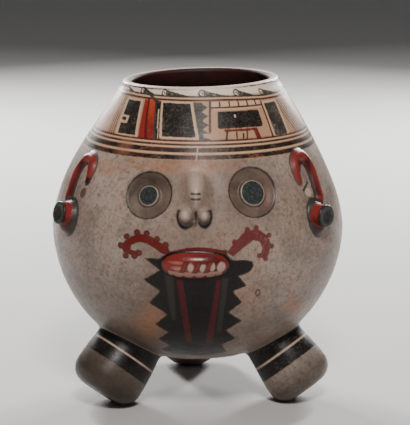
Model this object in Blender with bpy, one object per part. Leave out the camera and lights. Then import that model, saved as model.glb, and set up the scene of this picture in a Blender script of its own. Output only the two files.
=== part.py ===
"""Tripod effigy vase of fired, painted clay, modelled as the one hollow solid that it is.

The pot stands on the plane z = 0 and its face looks along -Y. Azimuths are measured about the belly's
axis from the middle of the face: positive is to the right of someone who looks at the face. A place
on the wall is given by an azimuth and a rise, its height above the belly's widest ring. What the
potter pressed onto the wall (nose, lip, ears) is laid on it by along_wall(), so it follows its shape.
"""

import math
from collections import namedtuple

import bmesh
import bpy
from mathutils import Matrix, Vector

# Pot
HEIGHT = 0.280  # standing plane to the top of the lip
BELLY_HEIGHT = 0.150  # height of the widest ring
BELLY_RADIUS = 0.1266
UNDERSIDE_HEIGHT = 0.035  # clear height of the belly above the standing plane
MOUTH_RADIUS = 0.0650  # outside, where the wall's line meets the top
WALL = 0.0070
FLOOR = 0.0090  # thickness of the bottom
LIP_ROUND = 0.0036  # height of the rounded lip
UNDERSIDE_POWER = 1.85  # how flat the underside is, 2 is round
SIDE_POWER = 2.40  # how full the side is, 2 is round
SHOULDER_POWER = 1.80  # how late the shoulder starts to turn in
SHOULDER_FULLNESS = 0.38
MOUTH_SHIFT = 0.0024  # the hand-built mouth sits this far to the right of the belly
MOUTH_TILT = math.radians(1.5)  # and its left side is a little lower
SETTLING_RISE = 0.040  # shift and tilt start here

# Feet: azimuth in degrees, radius, distance of the worn flat from the belly's axis
LEFT_FOOT = (-59.0, 0.0320, 0.0770)
RIGHT_FOOT = (70.0, 0.0295, 0.0815)
BACK_FOOT = (185.5, 0.0305, 0.0790)
FOOT_WAIST = 0.0050  # how much narrower the foot is in the belly's wall than at its widest
FOOT_ROUND = 0.0155  # radius of the rounded edge of the sole
FOOT_TILT = math.radians(38.5)
FOOT_WEAR = 0.0010  # clay worn off where the foot stands
FOOT_LENGTH = 0.075  # sole to the hidden end inside the wall

# Eyes: azimuth in degrees, rise, socket radius, pupil radius
LEFT_EYE = (-20.6, 0.0468, 0.0200, 0.0088)
RIGHT_EYE = (24.0, 0.0485, 0.0212, 0.0110)
SOCKET_DEPTH = 0.0042
SOCKET_EDGE_DEPTH = 0.0016
PUPIL_SINK = 0.0012  # the pupil's middle lies this far under the wall's surface
PUPIL_STEP = 0.0010  # width of the slope from the pupil to the socket's bottom

# Nose: its two nostril lobes are sideways place, rise, half width, half height
NOSE_AZIMUTH = -0.6
NOSE_TOP = 0.0685  # rise where the bridge starts
NOSE_BOTTOM = 0.0285
NOSE_HALF_WIDTH = 0.0112
NOSE_PROUD = 0.0080
LEFT_NOSTRIL = (-0.0080, 0.0310, 0.0070, 0.0090)
RIGHT_NOSTRIL = (0.0068, 0.0308, 0.0056, 0.0078)
NOSTRIL_PROUD = 0.0105
SLIT_RISES = (0.0505, 0.0465)
SLIT_HALF_LENGTH = 0.0042
SLIT_HALF_WIDTH = 0.0009
SLIT_DEPTH = 0.0012

# Lip over the painted mouth
LIP_AZIMUTH = -0.7
LIP_RISE = -0.0075
LIP_HALF_WIDTH = 0.0280
LIP_HALF_HEIGHT = 0.0112
LIP_PROUD = 0.0070

# Ears: side is -1 left and 1 right, rise is that of the spool's axis where it leaves the wall, turn (to
# the face) and droop of the spool are in degrees, reach is its length beyond the wall, hook and lobe are
# half widths, and hook_shift is how far the hook lies towards the face
Ear = namedtuple("Ear", "azimuth side rise turn droop spool reach hook lobe hook_shift")
LEFT_EAR = Ear(-60.5, -1, 0.0215, 3.5, 0.0, 0.0098, 0.0118, 0.0052, 0.0135, 0.0014)
RIGHT_EAR = Ear(53.5, 1, 0.0235, 8.5, 12.0, 0.0094, 0.0134, 0.0060, 0.0110, -0.0016)
LOBE_HALF_HEIGHT = 0.0160
LOBE_DROP = 0.0024  # the lobe's middle is this far under the spool's axis
LOBE_PROUD = 0.0085
SPOOL_ROUND = 0.0018
SPOOL_DISH = 0.0009  # hollow in the spool's end
HOOK_PROUD = 0.0044
# The hook's path from the lobe to its tip: distance towards the face, distance above the spool
HOOK_PATH = (
    (-0.0040, 0.0060),
    (-0.0095, 0.0120),
    (-0.0105, 0.0225),
    (-0.0114, 0.0350),
    (-0.0088, 0.0430),
    (-0.0040, 0.0480),
    (0.0026, 0.0478),
    (0.0075, 0.0438),
    (0.0100, 0.0372),
    (0.0104, 0.0300),
)
HOOK_TIP_SHARE = 0.60  # width at the tip as a share of the full width

EMBED = 0.0030  # how deep pressed-on clay sits in the wall
AXIS_BACK = LIP_PROUD / 2  # the belly's axis stands this far behind the middle of the whole

# Mesh fineness
AROUND = 64
SIDE_RINGS = 11
SHOULDER_RINGS = 8
INSIDE_RINGS = 10
LIP_ARCS = 4
FOOT_STEPS = 28
FOOT_ARCS = 5
HOOK_SPANS = 18
HOOK_SIDES = 7


def clean_scene():
    for obj in list(bpy.data.objects):
        bpy.data.objects.remove(obj, do_unlink=True)


def smooth_step(x):
    x = min(1.0, max(0.0, x))
    return x * x * (3 - 2 * x)


# The pot's outline


def side_point(share, radius, underside):
    """A point of the belly's lower outline: share 0 is the middle of the underside, 1 the widest ring."""
    angle = share * math.pi / 2
    depth = math.cos(angle) ** (2 / UNDERSIDE_POWER) if share < 1 else 0.0
    return radius * math.sin(angle) ** (2 / SIDE_POWER), BELLY_HEIGHT - (BELLY_HEIGHT - underside) * depth


def shoulder_point(share, belly, mouth):
    """A point of the outline above the widest ring: share 0 is that ring, 1 the mouth."""
    turned_in = share**SHOULDER_POWER * (1 + SHOULDER_FULLNESS * (1 - share))
    return belly + (mouth - belly) * turned_in, BELLY_HEIGHT + (HEIGHT - BELLY_HEIGHT) * share


def outline(inset, floor, side_rings, shoulder_rings, top):
    """(radius, height) points from the axis at the bottom up to top, inset from the outer surface."""
    slope = math.atan2(BELLY_RADIUS - MOUTH_RADIUS, HEIGHT - BELLY_HEIGHT)
    mouth = MOUTH_RADIUS - inset / math.cos(slope)
    belly = BELLY_RADIUS - inset
    last = (top - BELLY_HEIGHT) / (HEIGHT - BELLY_HEIGHT)
    low = [side_point(i / side_rings, belly, UNDERSIDE_HEIGHT + floor) for i in range(side_rings)]
    high = [shoulder_point(last * i / shoulder_rings, belly, mouth) for i in range(shoulder_rings + 1)]
    return low + high


def outer_radius(rise):
    """Radius of the outer surface at a rise."""
    if rise >= 0:
        share = rise / (HEIGHT - BELLY_HEIGHT)
        return shoulder_point(share, BELLY_RADIUS, MOUTH_RADIUS)[0]
    depth = min(1.0, -rise / (BELLY_HEIGHT - UNDERSIDE_HEIGHT))
    return BELLY_RADIUS * (1 - depth**UNDERSIDE_POWER) ** (1 / SIDE_POWER)


def settled(point):
    """Moves a point of the true round pot to where the hand-built one has it."""
    start = BELLY_HEIGHT + SETTLING_RISE
    share = smooth_step((point.z - start) / (HEIGHT - start))
    lift = point.x * math.tan(MOUTH_TILT) * share
    return Vector((point.x + MOUTH_SHIFT * share, point.y, point.z + lift))


# Places on the wall


def wall_point(azimuth, rise):
    angle = math.radians(azimuth)
    radius = outer_radius(rise)
    return settled(Vector((radius * math.sin(angle), -radius * math.cos(angle), BELLY_HEIGHT + rise)))


def wall_normal(azimuth, rise):
    step = 0.0005
    around = wall_point(azimuth + 0.5, rise) - wall_point(azimuth - 0.5, rise)
    upward = wall_point(azimuth, rise + step) - wall_point(azimuth, rise - step)
    return around.cross(upward).normalized()


def along_wall(azimuth, rise, right, up, proud):
    """The point reached from a place on the wall by going right and up along it, then outwards."""
    step = 0.001
    widening = outer_radius(rise + step) - outer_radius(rise - step)
    there = rise + up * 2 * step / math.hypot(2 * step, widening)
    turned = azimuth + math.degrees(right / outer_radius(there))
    return wall_point(turned, there) + wall_normal(turned, there) * proud


# Mesh helpers


def new_object(name, mesh):
    obj = bpy.data.objects.new(name, mesh)
    bpy.context.scene.collection.objects.link(obj)
    return obj


def mesh_from_rings(name, rings, close_ends=True):
    """A closed skin over rings of equally many points; the first and last ring are filled."""
    bm = bmesh.new()
    loops = [[bm.verts.new(p) for p in ring] for ring in rings]
    count = len(loops[0])
    for low, high in zip(loops, loops[1:]):
        for i in range(count):
            j = (i + 1) % count
            bm.faces.new((low[i], low[j], high[j], high[i]))
    if close_ends:
        for loop in (loops[0], loops[-1]):
            middle = bm.verts.new(sum((v.co for v in loop), Vector()) / count)
            for i in range(count):
                bm.faces.new((loop[i], loop[(i + 1) % count], middle))
    bmesh.ops.recalc_face_normals(bm, faces=bm.faces)
    mesh = bpy.data.meshes.new(name)
    bm.to_mesh(mesh)
    bm.free()
    mesh.shade_smooth()
    return mesh


def turned_mesh(name, profile, steps):
    """A solid turned about Z from (radius, height) points that start and end on the axis."""
    bm = bmesh.new()
    verts = [bm.verts.new((radius, 0, height)) for radius, height in profile]
    edges = [bm.edges.new(pair) for pair in zip(verts, verts[1:])]
    bmesh.ops.spin(
        bm, geom=verts + edges, cent=(0, 0, 0), axis=(0, 0, 1), angle=2 * math.pi, steps=steps
    )
    bmesh.ops.remove_doubles(bm, verts=bm.verts, dist=1e-6)
    bmesh.ops.recalc_face_normals(bm, faces=bm.faces)
    mesh = bpy.data.meshes.new(name)
    bm.to_mesh(mesh)
    bm.free()
    mesh.shade_smooth()
    return mesh


def combine(target, tool, operation):
    """Applies an exact Boolean of tool to target and removes the tool."""
    modifier = target.modifiers.new(operation.title(), "BOOLEAN")
    modifier.operation = operation
    modifier.solver = "EXACT"
    modifier.object = tool
    depsgraph = bpy.context.evaluated_depsgraph_get()
    made = bpy.data.meshes.new_from_object(target.evaluated_get(depsgraph))
    target.modifiers.clear()
    target.data = made
    bpy.data.objects.remove(tool, do_unlink=True)


# The pieces of clay


def pot_wall():
    """The hollow pot: up the outside, over the rounded lip and down the inside."""
    top = HEIGHT - LIP_ROUND
    outside = outline(0.0, 0.0, SIDE_RINGS, SHOULDER_RINGS, top)
    inside = outline(WALL, FLOOR, INSIDE_RINGS // 2, INSIDE_RINGS // 2, top)
    outer_edge, inner_edge = outside[-1][0], inside[-1][0]
    middle = (outer_edge + inner_edge) / 2
    half = (outer_edge - inner_edge) / 2
    arc = []
    for i in range(1, LIP_ARCS):
        angle = math.pi * i / LIP_ARCS
        arc.append((middle + half * math.cos(angle), top + LIP_ROUND * math.sin(angle)))
    mesh = turned_mesh("pot", outside + arc + inside[::-1], AROUND)
    for vert in mesh.vertices:
        vert.co = settled(vert.co)
    return new_object("vase", mesh)


def wall_core():
    """A solid that fills the pot to the middle of its wall, used to trim what is set into the wall."""
    profile = outline(WALL / 2, FLOOR / 2, SIDE_RINGS, SHOULDER_RINGS, HEIGHT)
    mesh = turned_mesh("core", profile + [(0.0, HEIGHT)], AROUND)
    return new_object("core", mesh)


def foot(azimuth, radius, stance):
    """A stub leg that leans outwards, with a rounded sole edge, trimmed at the middle of the wall."""
    flat = radius - FOOT_ROUND
    profile = [(0.0, 0.0)]
    for i in range(FOOT_ARCS + 1):
        angle = math.pi / 2 * i / FOOT_ARCS
        profile.append((flat + FOOT_ROUND * math.sin(angle), FOOT_ROUND * (1 - math.cos(angle))))
    for share in (0.25, 0.5, 0.75, 1.0):
        height = FOOT_ROUND + (FOOT_LENGTH - FOOT_ROUND) * share
        profile.append((radius - FOOT_WAIST * smooth_step(share), height))
    profile.append((0.0, FOOT_LENGTH))
    leg = new_object("foot", turned_mesh("foot", profile, FOOT_STEPS))
    # The rounded edge's lowest point lies FOOT_WEAR under the standing plane, at the stance's distance.
    across = flat * math.cos(FOOT_TILT) + FOOT_ROUND * math.sin(FOOT_TILT)
    height = flat * math.sin(FOOT_TILT) + FOOT_ROUND * (1 - math.cos(FOOT_TILT)) - FOOT_WEAR
    sole = Matrix.Translation((0, -stance - across, height)) @ Matrix.Rotation(-FOOT_TILT, 4, "X")
    leg.data.transform(Matrix.Rotation(math.radians(azimuth), 4, "Z") @ sole)
    combine(leg, wall_core(), "DIFFERENCE")
    return leg


def eye_cutter(azimuth, rise, socket, pupil):
    """The air in an eye: a shallow round dish with a low pupil left standing in its middle."""
    profile = [
        (pupil * 0.55, -PUPIL_SINK),
        (pupil, -PUPIL_SINK * 1.3),
        (pupil + PUPIL_STEP, -SOCKET_DEPTH),
        ((pupil + socket) / 2, -(SOCKET_DEPTH + SOCKET_EDGE_DEPTH) / 2 - 0.0003),
        (socket - 0.0006, -SOCKET_EDGE_DEPTH),
        (socket, 0.0),
        (socket + 0.0012, 0.0030),
    ]
    return ring_stack("eye", azimuth, rise, profile, 32)


def ring_stack(name, azimuth, rise, profile, steps, half_width=1.0, half_height=1.0, power=2.0):
    """A solid of nested ovals laid on the wall: profile gives (size, proud) from the middle outwards."""
    rings = []
    for size, proud in profile:
        ring = []
        for i in range(steps):
            angle = 2 * math.pi * i / steps
            right = math.copysign(abs(math.cos(angle)) ** (2 / power), math.cos(angle))
            up = math.copysign(abs(math.sin(angle)) ** (2 / power), math.sin(angle))
            ring.append(
                along_wall(azimuth, rise, size * half_width * right, size * half_height * up, proud)
            )
        rings.append(ring)
    return new_object(name, mesh_from_rings(name, rings))


def dome_profile(proud, rings, sharpness=2.0):
    """(size, proud) pairs of a dome that runs out into the wall, and then down into it."""
    profile = []
    for i in range(rings):
        angle = math.pi / 2 * (i + 0.5) / rings
        profile.append((math.sin(angle), proud * math.cos(angle) ** (2 / sharpness)))
    return profile + [(1.0, -EMBED)]


def nose_bridge():
    middle = (NOSE_TOP + NOSE_BOTTOM) / 2
    half_height = (NOSE_TOP - NOSE_BOTTOM) / 2
    profile = dome_profile(NOSE_PROUD, 6)
    return ring_stack("bridge", NOSE_AZIMUTH, middle, profile, 24, NOSE_HALF_WIDTH, half_height)


def nostril(sideways, rise, half_width, half_height):
    turned = NOSE_AZIMUTH + math.degrees(sideways / outer_radius(rise))
    profile = dome_profile(NOSTRIL_PROUD, 6)
    return ring_stack("nostril", turned, rise, profile, 18, half_width, half_height)


def nose_slit(rise):
    """The air in one of the two short cuts across the nose."""
    bottom = NOSE_PROUD - SLIT_DEPTH
    profile = [(0.1, bottom), (1.0, bottom + SLIT_DEPTH * 1.3), (1.0, bottom + SLIT_DEPTH * 3.5)]
    return ring_stack("slit", NOSE_AZIMUTH, rise, profile, 12, SLIT_HALF_LENGTH, SLIT_HALF_WIDTH)


def lip():
    profile = dome_profile(LIP_PROUD, 6)
    return ring_stack("lip", LIP_AZIMUTH, LIP_RISE, profile, 36, LIP_HALF_WIDTH, LIP_HALF_HEIGHT, 2.4)


def spline_point(points, share):
    """A point of the Catmull-Rom curve through points, share 0 to 1."""
    spans = len(points) - 1
    place = min(share * spans, spans - 1e-9)
    i = int(place)
    t = place - i
    before = points[max(i - 1, 0)]
    here, there = points[i], points[i + 1]
    after = points[min(i + 2, spans)]
    return [
        0.5 * (2 * b + (c - a) * t + (2 * a - 5 * b + 4 * c - d) * t**2 + (3 * b - 3 * c + d - a) * t**3)
        for a, b, c, d in zip(before, here, there, after)
    ]


def hook_point(ear, towards_face, above, proud):
    return along_wall(ear.azimuth, ear.rise, -ear.side * (towards_face + ear.hook_shift), above, proud)


def ear_hook(ear):
    """A half-round roll of clay that climbs from the lobe, turns over and hangs down towards the face."""
    rings = []
    for i in range(HOOK_SPANS + 1):
        share = i / HOOK_SPANS
        x, y = spline_point(HOOK_PATH, share)
        ahead = spline_point(HOOK_PATH, min(1.0, share + 0.01))
        behind = spline_point(HOOK_PATH, max(0.0, share - 0.01))
        way = Vector((ahead[0] - behind[0], ahead[1] - behind[1])).normalized()
        taper = 1 - (1 - HOOK_TIP_SHARE) * smooth_step((share - 0.75) / 0.25)
        ring = []
        for k in range(HOOK_SIDES):
            angle = math.pi * k / (HOOK_SIDES - 1)
            off = ear.hook * taper * math.cos(angle)
            proud = HOOK_PROUD * taper * math.sin(angle)
            ring.append(hook_point(ear, x - way.y * off, y + way.x * off, proud))
        for off in (-0.8 * ear.hook * taper, 0.8 * ear.hook * taper):
            ring.append(hook_point(ear, x - way.y * off, y + way.x * off, -EMBED / 2))
        rings.append(ring)
    return new_object("hook", mesh_from_rings("hook", rings))


def ear_lobe(ear):
    """The thick lobe that grips the spool."""
    profile = dome_profile(LOBE_PROUD, 5, 2.6)
    return ring_stack("lobe", ear.azimuth, ear.rise - LOBE_DROP, profile, 24, ear.lobe, LOBE_HALF_HEIGHT)


def ear_spool(ear):
    """The plug worn in the ear: a short barrel with a rounded edge and a slightly hollow end."""
    profile = [
        (0.0, -EMBED),
        (ear.spool, -EMBED),
        (ear.spool, ear.reach - SPOOL_ROUND),
        (ear.spool - SPOOL_ROUND * 0.3, ear.reach - SPOOL_ROUND * 0.3),
        (ear.spool - SPOOL_ROUND, ear.reach),
        (ear.spool - SPOOL_ROUND * 1.8, ear.reach - SPOOL_DISH),
        (0.0, ear.reach - SPOOL_DISH),
    ]
    barrel = new_object("spool", turned_mesh("spool", profile, 24))
    away = Matrix.Rotation(math.radians(-ear.side * ear.turn), 3, "Z") @ wall_normal(ear.azimuth, ear.rise)
    level = away.cross(Vector((0, 0, 1))).normalized()
    away = Matrix.Rotation(math.radians(-ear.droop), 3, level) @ away
    facing = away.to_track_quat("Z", "Y").to_matrix().to_4x4()
    barrel.data.transform(Matrix.Translation(wall_point(ear.azimuth, ear.rise)) @ facing)
    return barrel


def ground():
    """The standing surface, which has worn the feet flat."""
    bm = bmesh.new()
    reach = 2 * BELLY_RADIUS
    bmesh.ops.create_cube(bm, size=1.0)
    bmesh.ops.scale(bm, vec=(2 * reach, 2 * reach, reach), verts=bm.verts)
    bmesh.ops.translate(bm, vec=(0, 0, -reach / 2), verts=bm.verts)
    mesh = bpy.data.meshes.new("ground")
    bm.to_mesh(mesh)
    bm.free()
    return new_object("ground", mesh)


def fired_clay():
    material = bpy.data.materials.new("painted clay")
    material.use_nodes = True
    shader = material.node_tree.nodes["Principled BSDF"]
    shader.inputs["Base Color"].default_value = (0.36, 0.25, 0.19, 1.0)
    shader.inputs["Roughness"].default_value = 0.38
    shader.inputs["Metallic"].default_value = 0.0
    return material


def build():
    clean_scene()
    vase = pot_wall()
    for place in (LEFT_FOOT, RIGHT_FOOT, BACK_FOOT):
        combine(vase, foot(*place), "UNION")
    combine(vase, nose_bridge(), "UNION")
    for lobe in (LEFT_NOSTRIL, RIGHT_NOSTRIL):
        combine(vase, nostril(*lobe), "UNION")
    combine(vase, lip(), "UNION")
    for ear in (LEFT_EAR, RIGHT_EAR):
        combine(vase, ear_hook(ear), "UNION")
        combine(vase, ear_lobe(ear), "UNION")
        combine(vase, ear_spool(ear), "UNION")
    for eye in (LEFT_EYE, RIGHT_EYE):
        combine(vase, eye_cutter(*eye), "DIFFERENCE")
    for rise in SLIT_RISES:
        combine(vase, nose_slit(rise), "DIFFERENCE")
    combine(vase, ground(), "DIFFERENCE")
    vase.data.materials.clear()
    vase.data.materials.append(fired_clay())
    vase.data.shade_smooth()
    vase.data.set_sharp_from_angle(angle=math.radians(35))
    vase.location.y = AXIS_BACK
    return vase


if __name__ == "__main__":
    build()
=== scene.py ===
# %% [markdown]
# # A tripod vase with a modelled and painted face
# The vase is one hollow piece of fired clay. A potter coiled and smoothed the round pot, pressed on
# three stub feet, a nose, a lip and two ears, cut the eye sockets, and painted everything in cream,
# red and black slip before burnishing it. The scene does the same in the same order: first the pot's
# wall as one fine skin, then the feet and ear spools joined to it, then the paint.

# %% Tools and the measured frame
import math
from collections import namedtuple

import bmesh
import bpy
import numpy as np
from mathutils import Matrix, Vector


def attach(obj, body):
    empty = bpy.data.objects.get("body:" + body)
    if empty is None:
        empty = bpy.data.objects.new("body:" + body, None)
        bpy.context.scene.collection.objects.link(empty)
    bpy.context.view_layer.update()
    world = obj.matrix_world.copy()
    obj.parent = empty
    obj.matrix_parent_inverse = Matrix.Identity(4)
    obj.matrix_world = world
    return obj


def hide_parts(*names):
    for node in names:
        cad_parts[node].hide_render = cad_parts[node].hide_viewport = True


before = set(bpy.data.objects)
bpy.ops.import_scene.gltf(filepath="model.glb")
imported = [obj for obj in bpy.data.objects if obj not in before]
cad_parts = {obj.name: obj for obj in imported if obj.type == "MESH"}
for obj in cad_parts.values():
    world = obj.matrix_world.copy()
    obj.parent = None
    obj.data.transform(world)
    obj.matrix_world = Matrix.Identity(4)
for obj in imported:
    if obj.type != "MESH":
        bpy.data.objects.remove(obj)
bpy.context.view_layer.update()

# %% [markdown]
# ## The pot's outline
# A hand-built pot is nearly a turned shape, so one outline, radius against height, describes it. The
# belly below its widest ring is a rounded curve that is flatter underneath than at the side, and the
# shoulder leans in almost straight to the mouth. Powers of sines and shares give both with few numbers.

# %% Outline
HEIGHT = 0.280
BELLY_HEIGHT = 0.150
BELLY_RADIUS = 0.1266
UNDERSIDE_HEIGHT = 0.035
MOUTH_RADIUS = 0.0650
WALL = 0.0070
FLOOR = 0.0090
LIP_ROUND = 0.0036
UNDERSIDE_POWER = 1.85
SIDE_POWER = 2.40
SHOULDER_POWER = 1.80
SHOULDER_FULLNESS = 0.38
MOUTH_SHIFT = 0.0024
MOUTH_TILT = math.radians(1.5)
SETTLING_RISE = 0.040
AXIS_BACK = 0.0035


def smooth_step(x):
    x = np.clip(x, 0.0, 1.0)
    return x * x * (3 - 2 * x)


def soft_max(a, b, reach):
    """The larger of two heights, with the valley between them filled like a smoothed clay joint."""
    return np.maximum(a, b) + np.maximum(reach - np.abs(a - b), 0.0) ** 2 / (4 * reach)


def side_outline(share, radius, underside):
    angle = share * math.pi / 2
    depth = np.maximum(np.cos(angle), 0.0) ** (2 / UNDERSIDE_POWER)
    return radius * np.sin(angle) ** (2 / SIDE_POWER), BELLY_HEIGHT - (BELLY_HEIGHT - underside) * depth


def shoulder_outline(share, belly, mouth):
    turned_in = share**SHOULDER_POWER * (1 + SHOULDER_FULLNESS * (1 - share))
    return belly + (mouth - belly) * turned_in, BELLY_HEIGHT + (HEIGHT - BELLY_HEIGHT) * share


def outline(inset, floor, top, count=1600):
    """Radius and height from the axis at the bottom up to top, as two arrays."""
    slope = math.atan2(BELLY_RADIUS - MOUTH_RADIUS, HEIGHT - BELLY_HEIGHT)
    mouth = MOUTH_RADIUS - inset / math.cos(slope)
    belly = BELLY_RADIUS - inset
    low = side_outline(np.linspace(0, 1, count, endpoint=False), belly, UNDERSIDE_HEIGHT + floor)
    last = (top - BELLY_HEIGHT) / (HEIGHT - BELLY_HEIGHT)
    high = shoulder_outline(np.linspace(0, last, count), belly, mouth)
    return np.concatenate([low[0], high[0]]), np.concatenate([low[1], high[1]])


def outer_radius(rise):
    rise = np.asarray(rise, dtype=float)
    share = np.clip(rise / (HEIGHT - BELLY_HEIGHT), 0.0, 1.05)
    above = shoulder_outline(share, BELLY_RADIUS, MOUTH_RADIUS)[0]
    depth = np.clip(-rise / (BELLY_HEIGHT - UNDERSIDE_HEIGHT), 0.0, 1.0)
    below = BELLY_RADIUS * (1 - depth**UNDERSIDE_POWER) ** (1 / SIDE_POWER)
    return np.where(rise >= 0, above, below)


def settled(points):
    """Moves points of the true round pot to where the hand-built one has them."""
    start = BELLY_HEIGHT + SETTLING_RISE
    share = smooth_step((points[:, 2] - start) / (HEIGHT - start))
    moved = points.copy()
    moved[:, 2] += points[:, 0] * math.tan(MOUTH_TILT) * share
    moved[:, 0] += MOUTH_SHIFT * share
    return moved


def unsettled(points):
    """The opposite of settled: finds the place on the true round pot again."""
    start = BELLY_HEIGHT + SETTLING_RISE
    round_pot = points.copy()
    for _ in range(3):
        share = smooth_step((round_pot[:, 2] - start) / (HEIGHT - start))
        round_pot[:, 0] = points[:, 0] - MOUTH_SHIFT * share
        round_pot[:, 2] = points[:, 2] - round_pot[:, 0] * math.tan(MOUTH_TILT) * share
    return round_pot


print("belly", round(2000 * BELLY_RADIUS, 1), "mm across, mouth", round(2000 * MOUTH_RADIUS, 1), "mm")

# %% [markdown]
# ## Places on the wall
# The potter pressed the nose, lip and ears onto the curved wall, so their shapes are described as
# heights over the wall, at a sideways and an upward distance from a middle. The same two distances
# serve for the paint later on.

# %% Distances along the wall


def sideways(azimuth, rise, middle):
    """Distance to the right of an azimuth, in metres along the wall."""
    return np.radians(azimuth - middle) * outer_radius(rise)


def upward(rise, middle):
    """Distance above a rise, in metres along the wall."""
    step = 0.001
    widening = float(outer_radius(middle + step) - outer_radius(middle - step))
    return (rise - middle) * math.hypot(2 * step, widening) / (2 * step)


def pressed_dome(right, up, half_width, half_height, proud, power=2.0, fullness=2.4):
    """A lump of clay: an oval that is proud in the middle and runs under the wall at its edge."""
    size = (np.abs(right / half_width) ** power + np.abs(up / half_height) ** power) ** (1 / power)
    return proud * (1 - size**fullness)


def curve_points(path, count):
    """Points of the smooth curve through a path's points."""
    spans = len(path) - 1
    made = []
    for place in np.linspace(0, spans - 1e-9, count):
        i = int(place)
        t = place - i
        a, b = np.array(path[max(i - 1, 0)]), np.array(path[i])
        c, d = np.array(path[i + 1]), np.array(path[min(i + 2, spans)])
        bend = (2 * a - 5 * b + 4 * c - d) * t**2 + (3 * b - 3 * c + d - a) * t**3
        made.append(0.5 * (2 * b + (c - a) * t + bend))
    return np.array(made)


def nearest_on_curve(x, y, points):
    """Distance to a curve and the share of its length at the nearest place, for many points."""
    best = np.full(x.shape, 1e9)
    share = np.zeros(x.shape)
    count = len(points) - 1
    for i in range(count):
        a, b = points[i], points[i + 1]
        way = b - a
        t = np.clip(((x - a[0]) * way[0] + (y - a[1]) * way[1]) / max(way @ way, 1e-12), 0.0, 1.0)
        distance = np.hypot(x - a[0] - t * way[0], y - a[1] - t * way[1])
        closer = distance < best
        best = np.where(closer, distance, best)
        share = np.where(closer, (i + t) / count, share)
    return best, share


# %% [markdown]
# ## The relief of the face
# Each part of the face is low enough to be a height over the wall: the bridge of the nose with two
# bulbs, the lip, the ear lobes and the rolls of clay that hook over them. The eyes are shallow round
# dishes with a low pupil left in the middle. Adding them as heights, with soft joints between them,
# gives the smeared transitions of wet clay that separate solids would not.

# %% Relief
LEFT_EYE = (-20.6, 0.0468, 0.0200, 0.0088)
RIGHT_EYE = (24.0, 0.0485, 0.0212, 0.0110)
SOCKET_DEPTH = 0.0042
SOCKET_EDGE_DEPTH = 0.0016
PUPIL_SINK = 0.0012
NOSE_AZIMUTH = -0.6
NOSE_TOP = 0.0685
NOSE_BOTTOM = 0.0285
NOSE_HALF_WIDTH = 0.0112
NOSE_PROUD = 0.0080
LEFT_NOSTRIL = (-0.0080, 0.0318, 0.0068, 0.0086)
RIGHT_NOSTRIL = (0.0068, 0.0316, 0.0055, 0.0075)
NOSTRIL_PROUD = 0.0105
LIP_AZIMUTH = -0.7
LIP_RISE = -0.0075
LIP_HALF_WIDTH = 0.0280
LIP_HALF_HEIGHT = 0.0112
LIP_PROUD = 0.0070
# Side is -1 left and 1 right, turn and droop of the spool are in degrees, hook and lobe are half widths
Ear = namedtuple("Ear", "azimuth side rise turn droop spool reach hook lobe hook_shift")
LEFT_EAR = Ear(-60.5, -1, 0.0215, 3.5, 0.0, 0.0098, 0.0118, 0.0052, 0.0135, 0.0014)
RIGHT_EAR = Ear(53.5, 1, 0.0235, 8.5, 12.0, 0.0094, 0.0134, 0.0060, 0.0110, -0.0016)
LOBE_HALF_HEIGHT = 0.0160
LOBE_DROP = 0.0024
LOBE_PROUD = 0.0085
HOOK_PROUD = 0.0044
HOOK_TIP_SHARE = 0.60
HOOK_PATH = (
    (-0.0040, 0.0060),
    (-0.0095, 0.0120),
    (-0.0105, 0.0225),
    (-0.0114, 0.0350),
    (-0.0088, 0.0430),
    (-0.0040, 0.0480),
    (0.0026, 0.0478),
    (0.0075, 0.0438),
    (0.0100, 0.0372),
    (0.0104, 0.0300),
)
HOOK_CURVE = curve_points(HOOK_PATH, 50)


def ear_distances(azimuth, rise, ear):
    """Distance towards the face and above the spool's axis, for an ear."""
    return -ear.side * sideways(azimuth, rise, ear.azimuth), upward(rise, ear.rise)


def hook_width(share, ear):
    return ear.hook * (1 - (1 - HOOK_TIP_SHARE) * smooth_step((share - 0.80) / 0.20))


def nose_relief(azimuth, rise):
    right = sideways(azimuth, rise, NOSE_AZIMUTH)
    middle = (NOSE_TOP + NOSE_BOTTOM) / 2
    half = (NOSE_TOP - NOSE_BOTTOM) / 2
    up = upward(rise, middle)
    swell = smooth_step((half - up) / (1.5 * half))
    width = NOSE_HALF_WIDTH * (0.80 + 0.20 * swell)
    ridge = NOSE_PROUD * np.exp(-((right / (0.80 * width)) ** 2))
    ends = smooth_step((half * 1.08 - up) / (half * 1.05)) * smooth_step((up + half) / (half * 0.35))
    height = ridge * ends
    for side, place, half_width, half_height in (LEFT_NOSTRIL, RIGHT_NOSTRIL):
        bulb_up = upward(rise, place)
        bulb = pressed_dome(right - side, bulb_up, half_width, half_height, NOSTRIL_PROUD)
        height = soft_max(height, bulb, 0.0012)
    return height


def eye_relief(azimuth, rise, eye):
    """How far the wall lies under its own surface inside a socket, as a negative height."""
    azimuth_middle, rise_middle, socket, pupil = eye
    from_middle = np.hypot(sideways(azimuth, rise, azimuth_middle), upward(rise, rise_middle))
    dish = SOCKET_EDGE_DEPTH + (SOCKET_DEPTH - SOCKET_EDGE_DEPTH) * smooth_step(
        (socket - from_middle) / (socket - pupil)
    )
    inside_pupil = smooth_step((pupil + 0.0014 - from_middle) / 0.0016)
    depth = dish + (PUPIL_SINK * 1.1 - dish) * inside_pupil
    return -depth * smooth_step((socket + 0.0006 - from_middle) / 0.0016)


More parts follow.
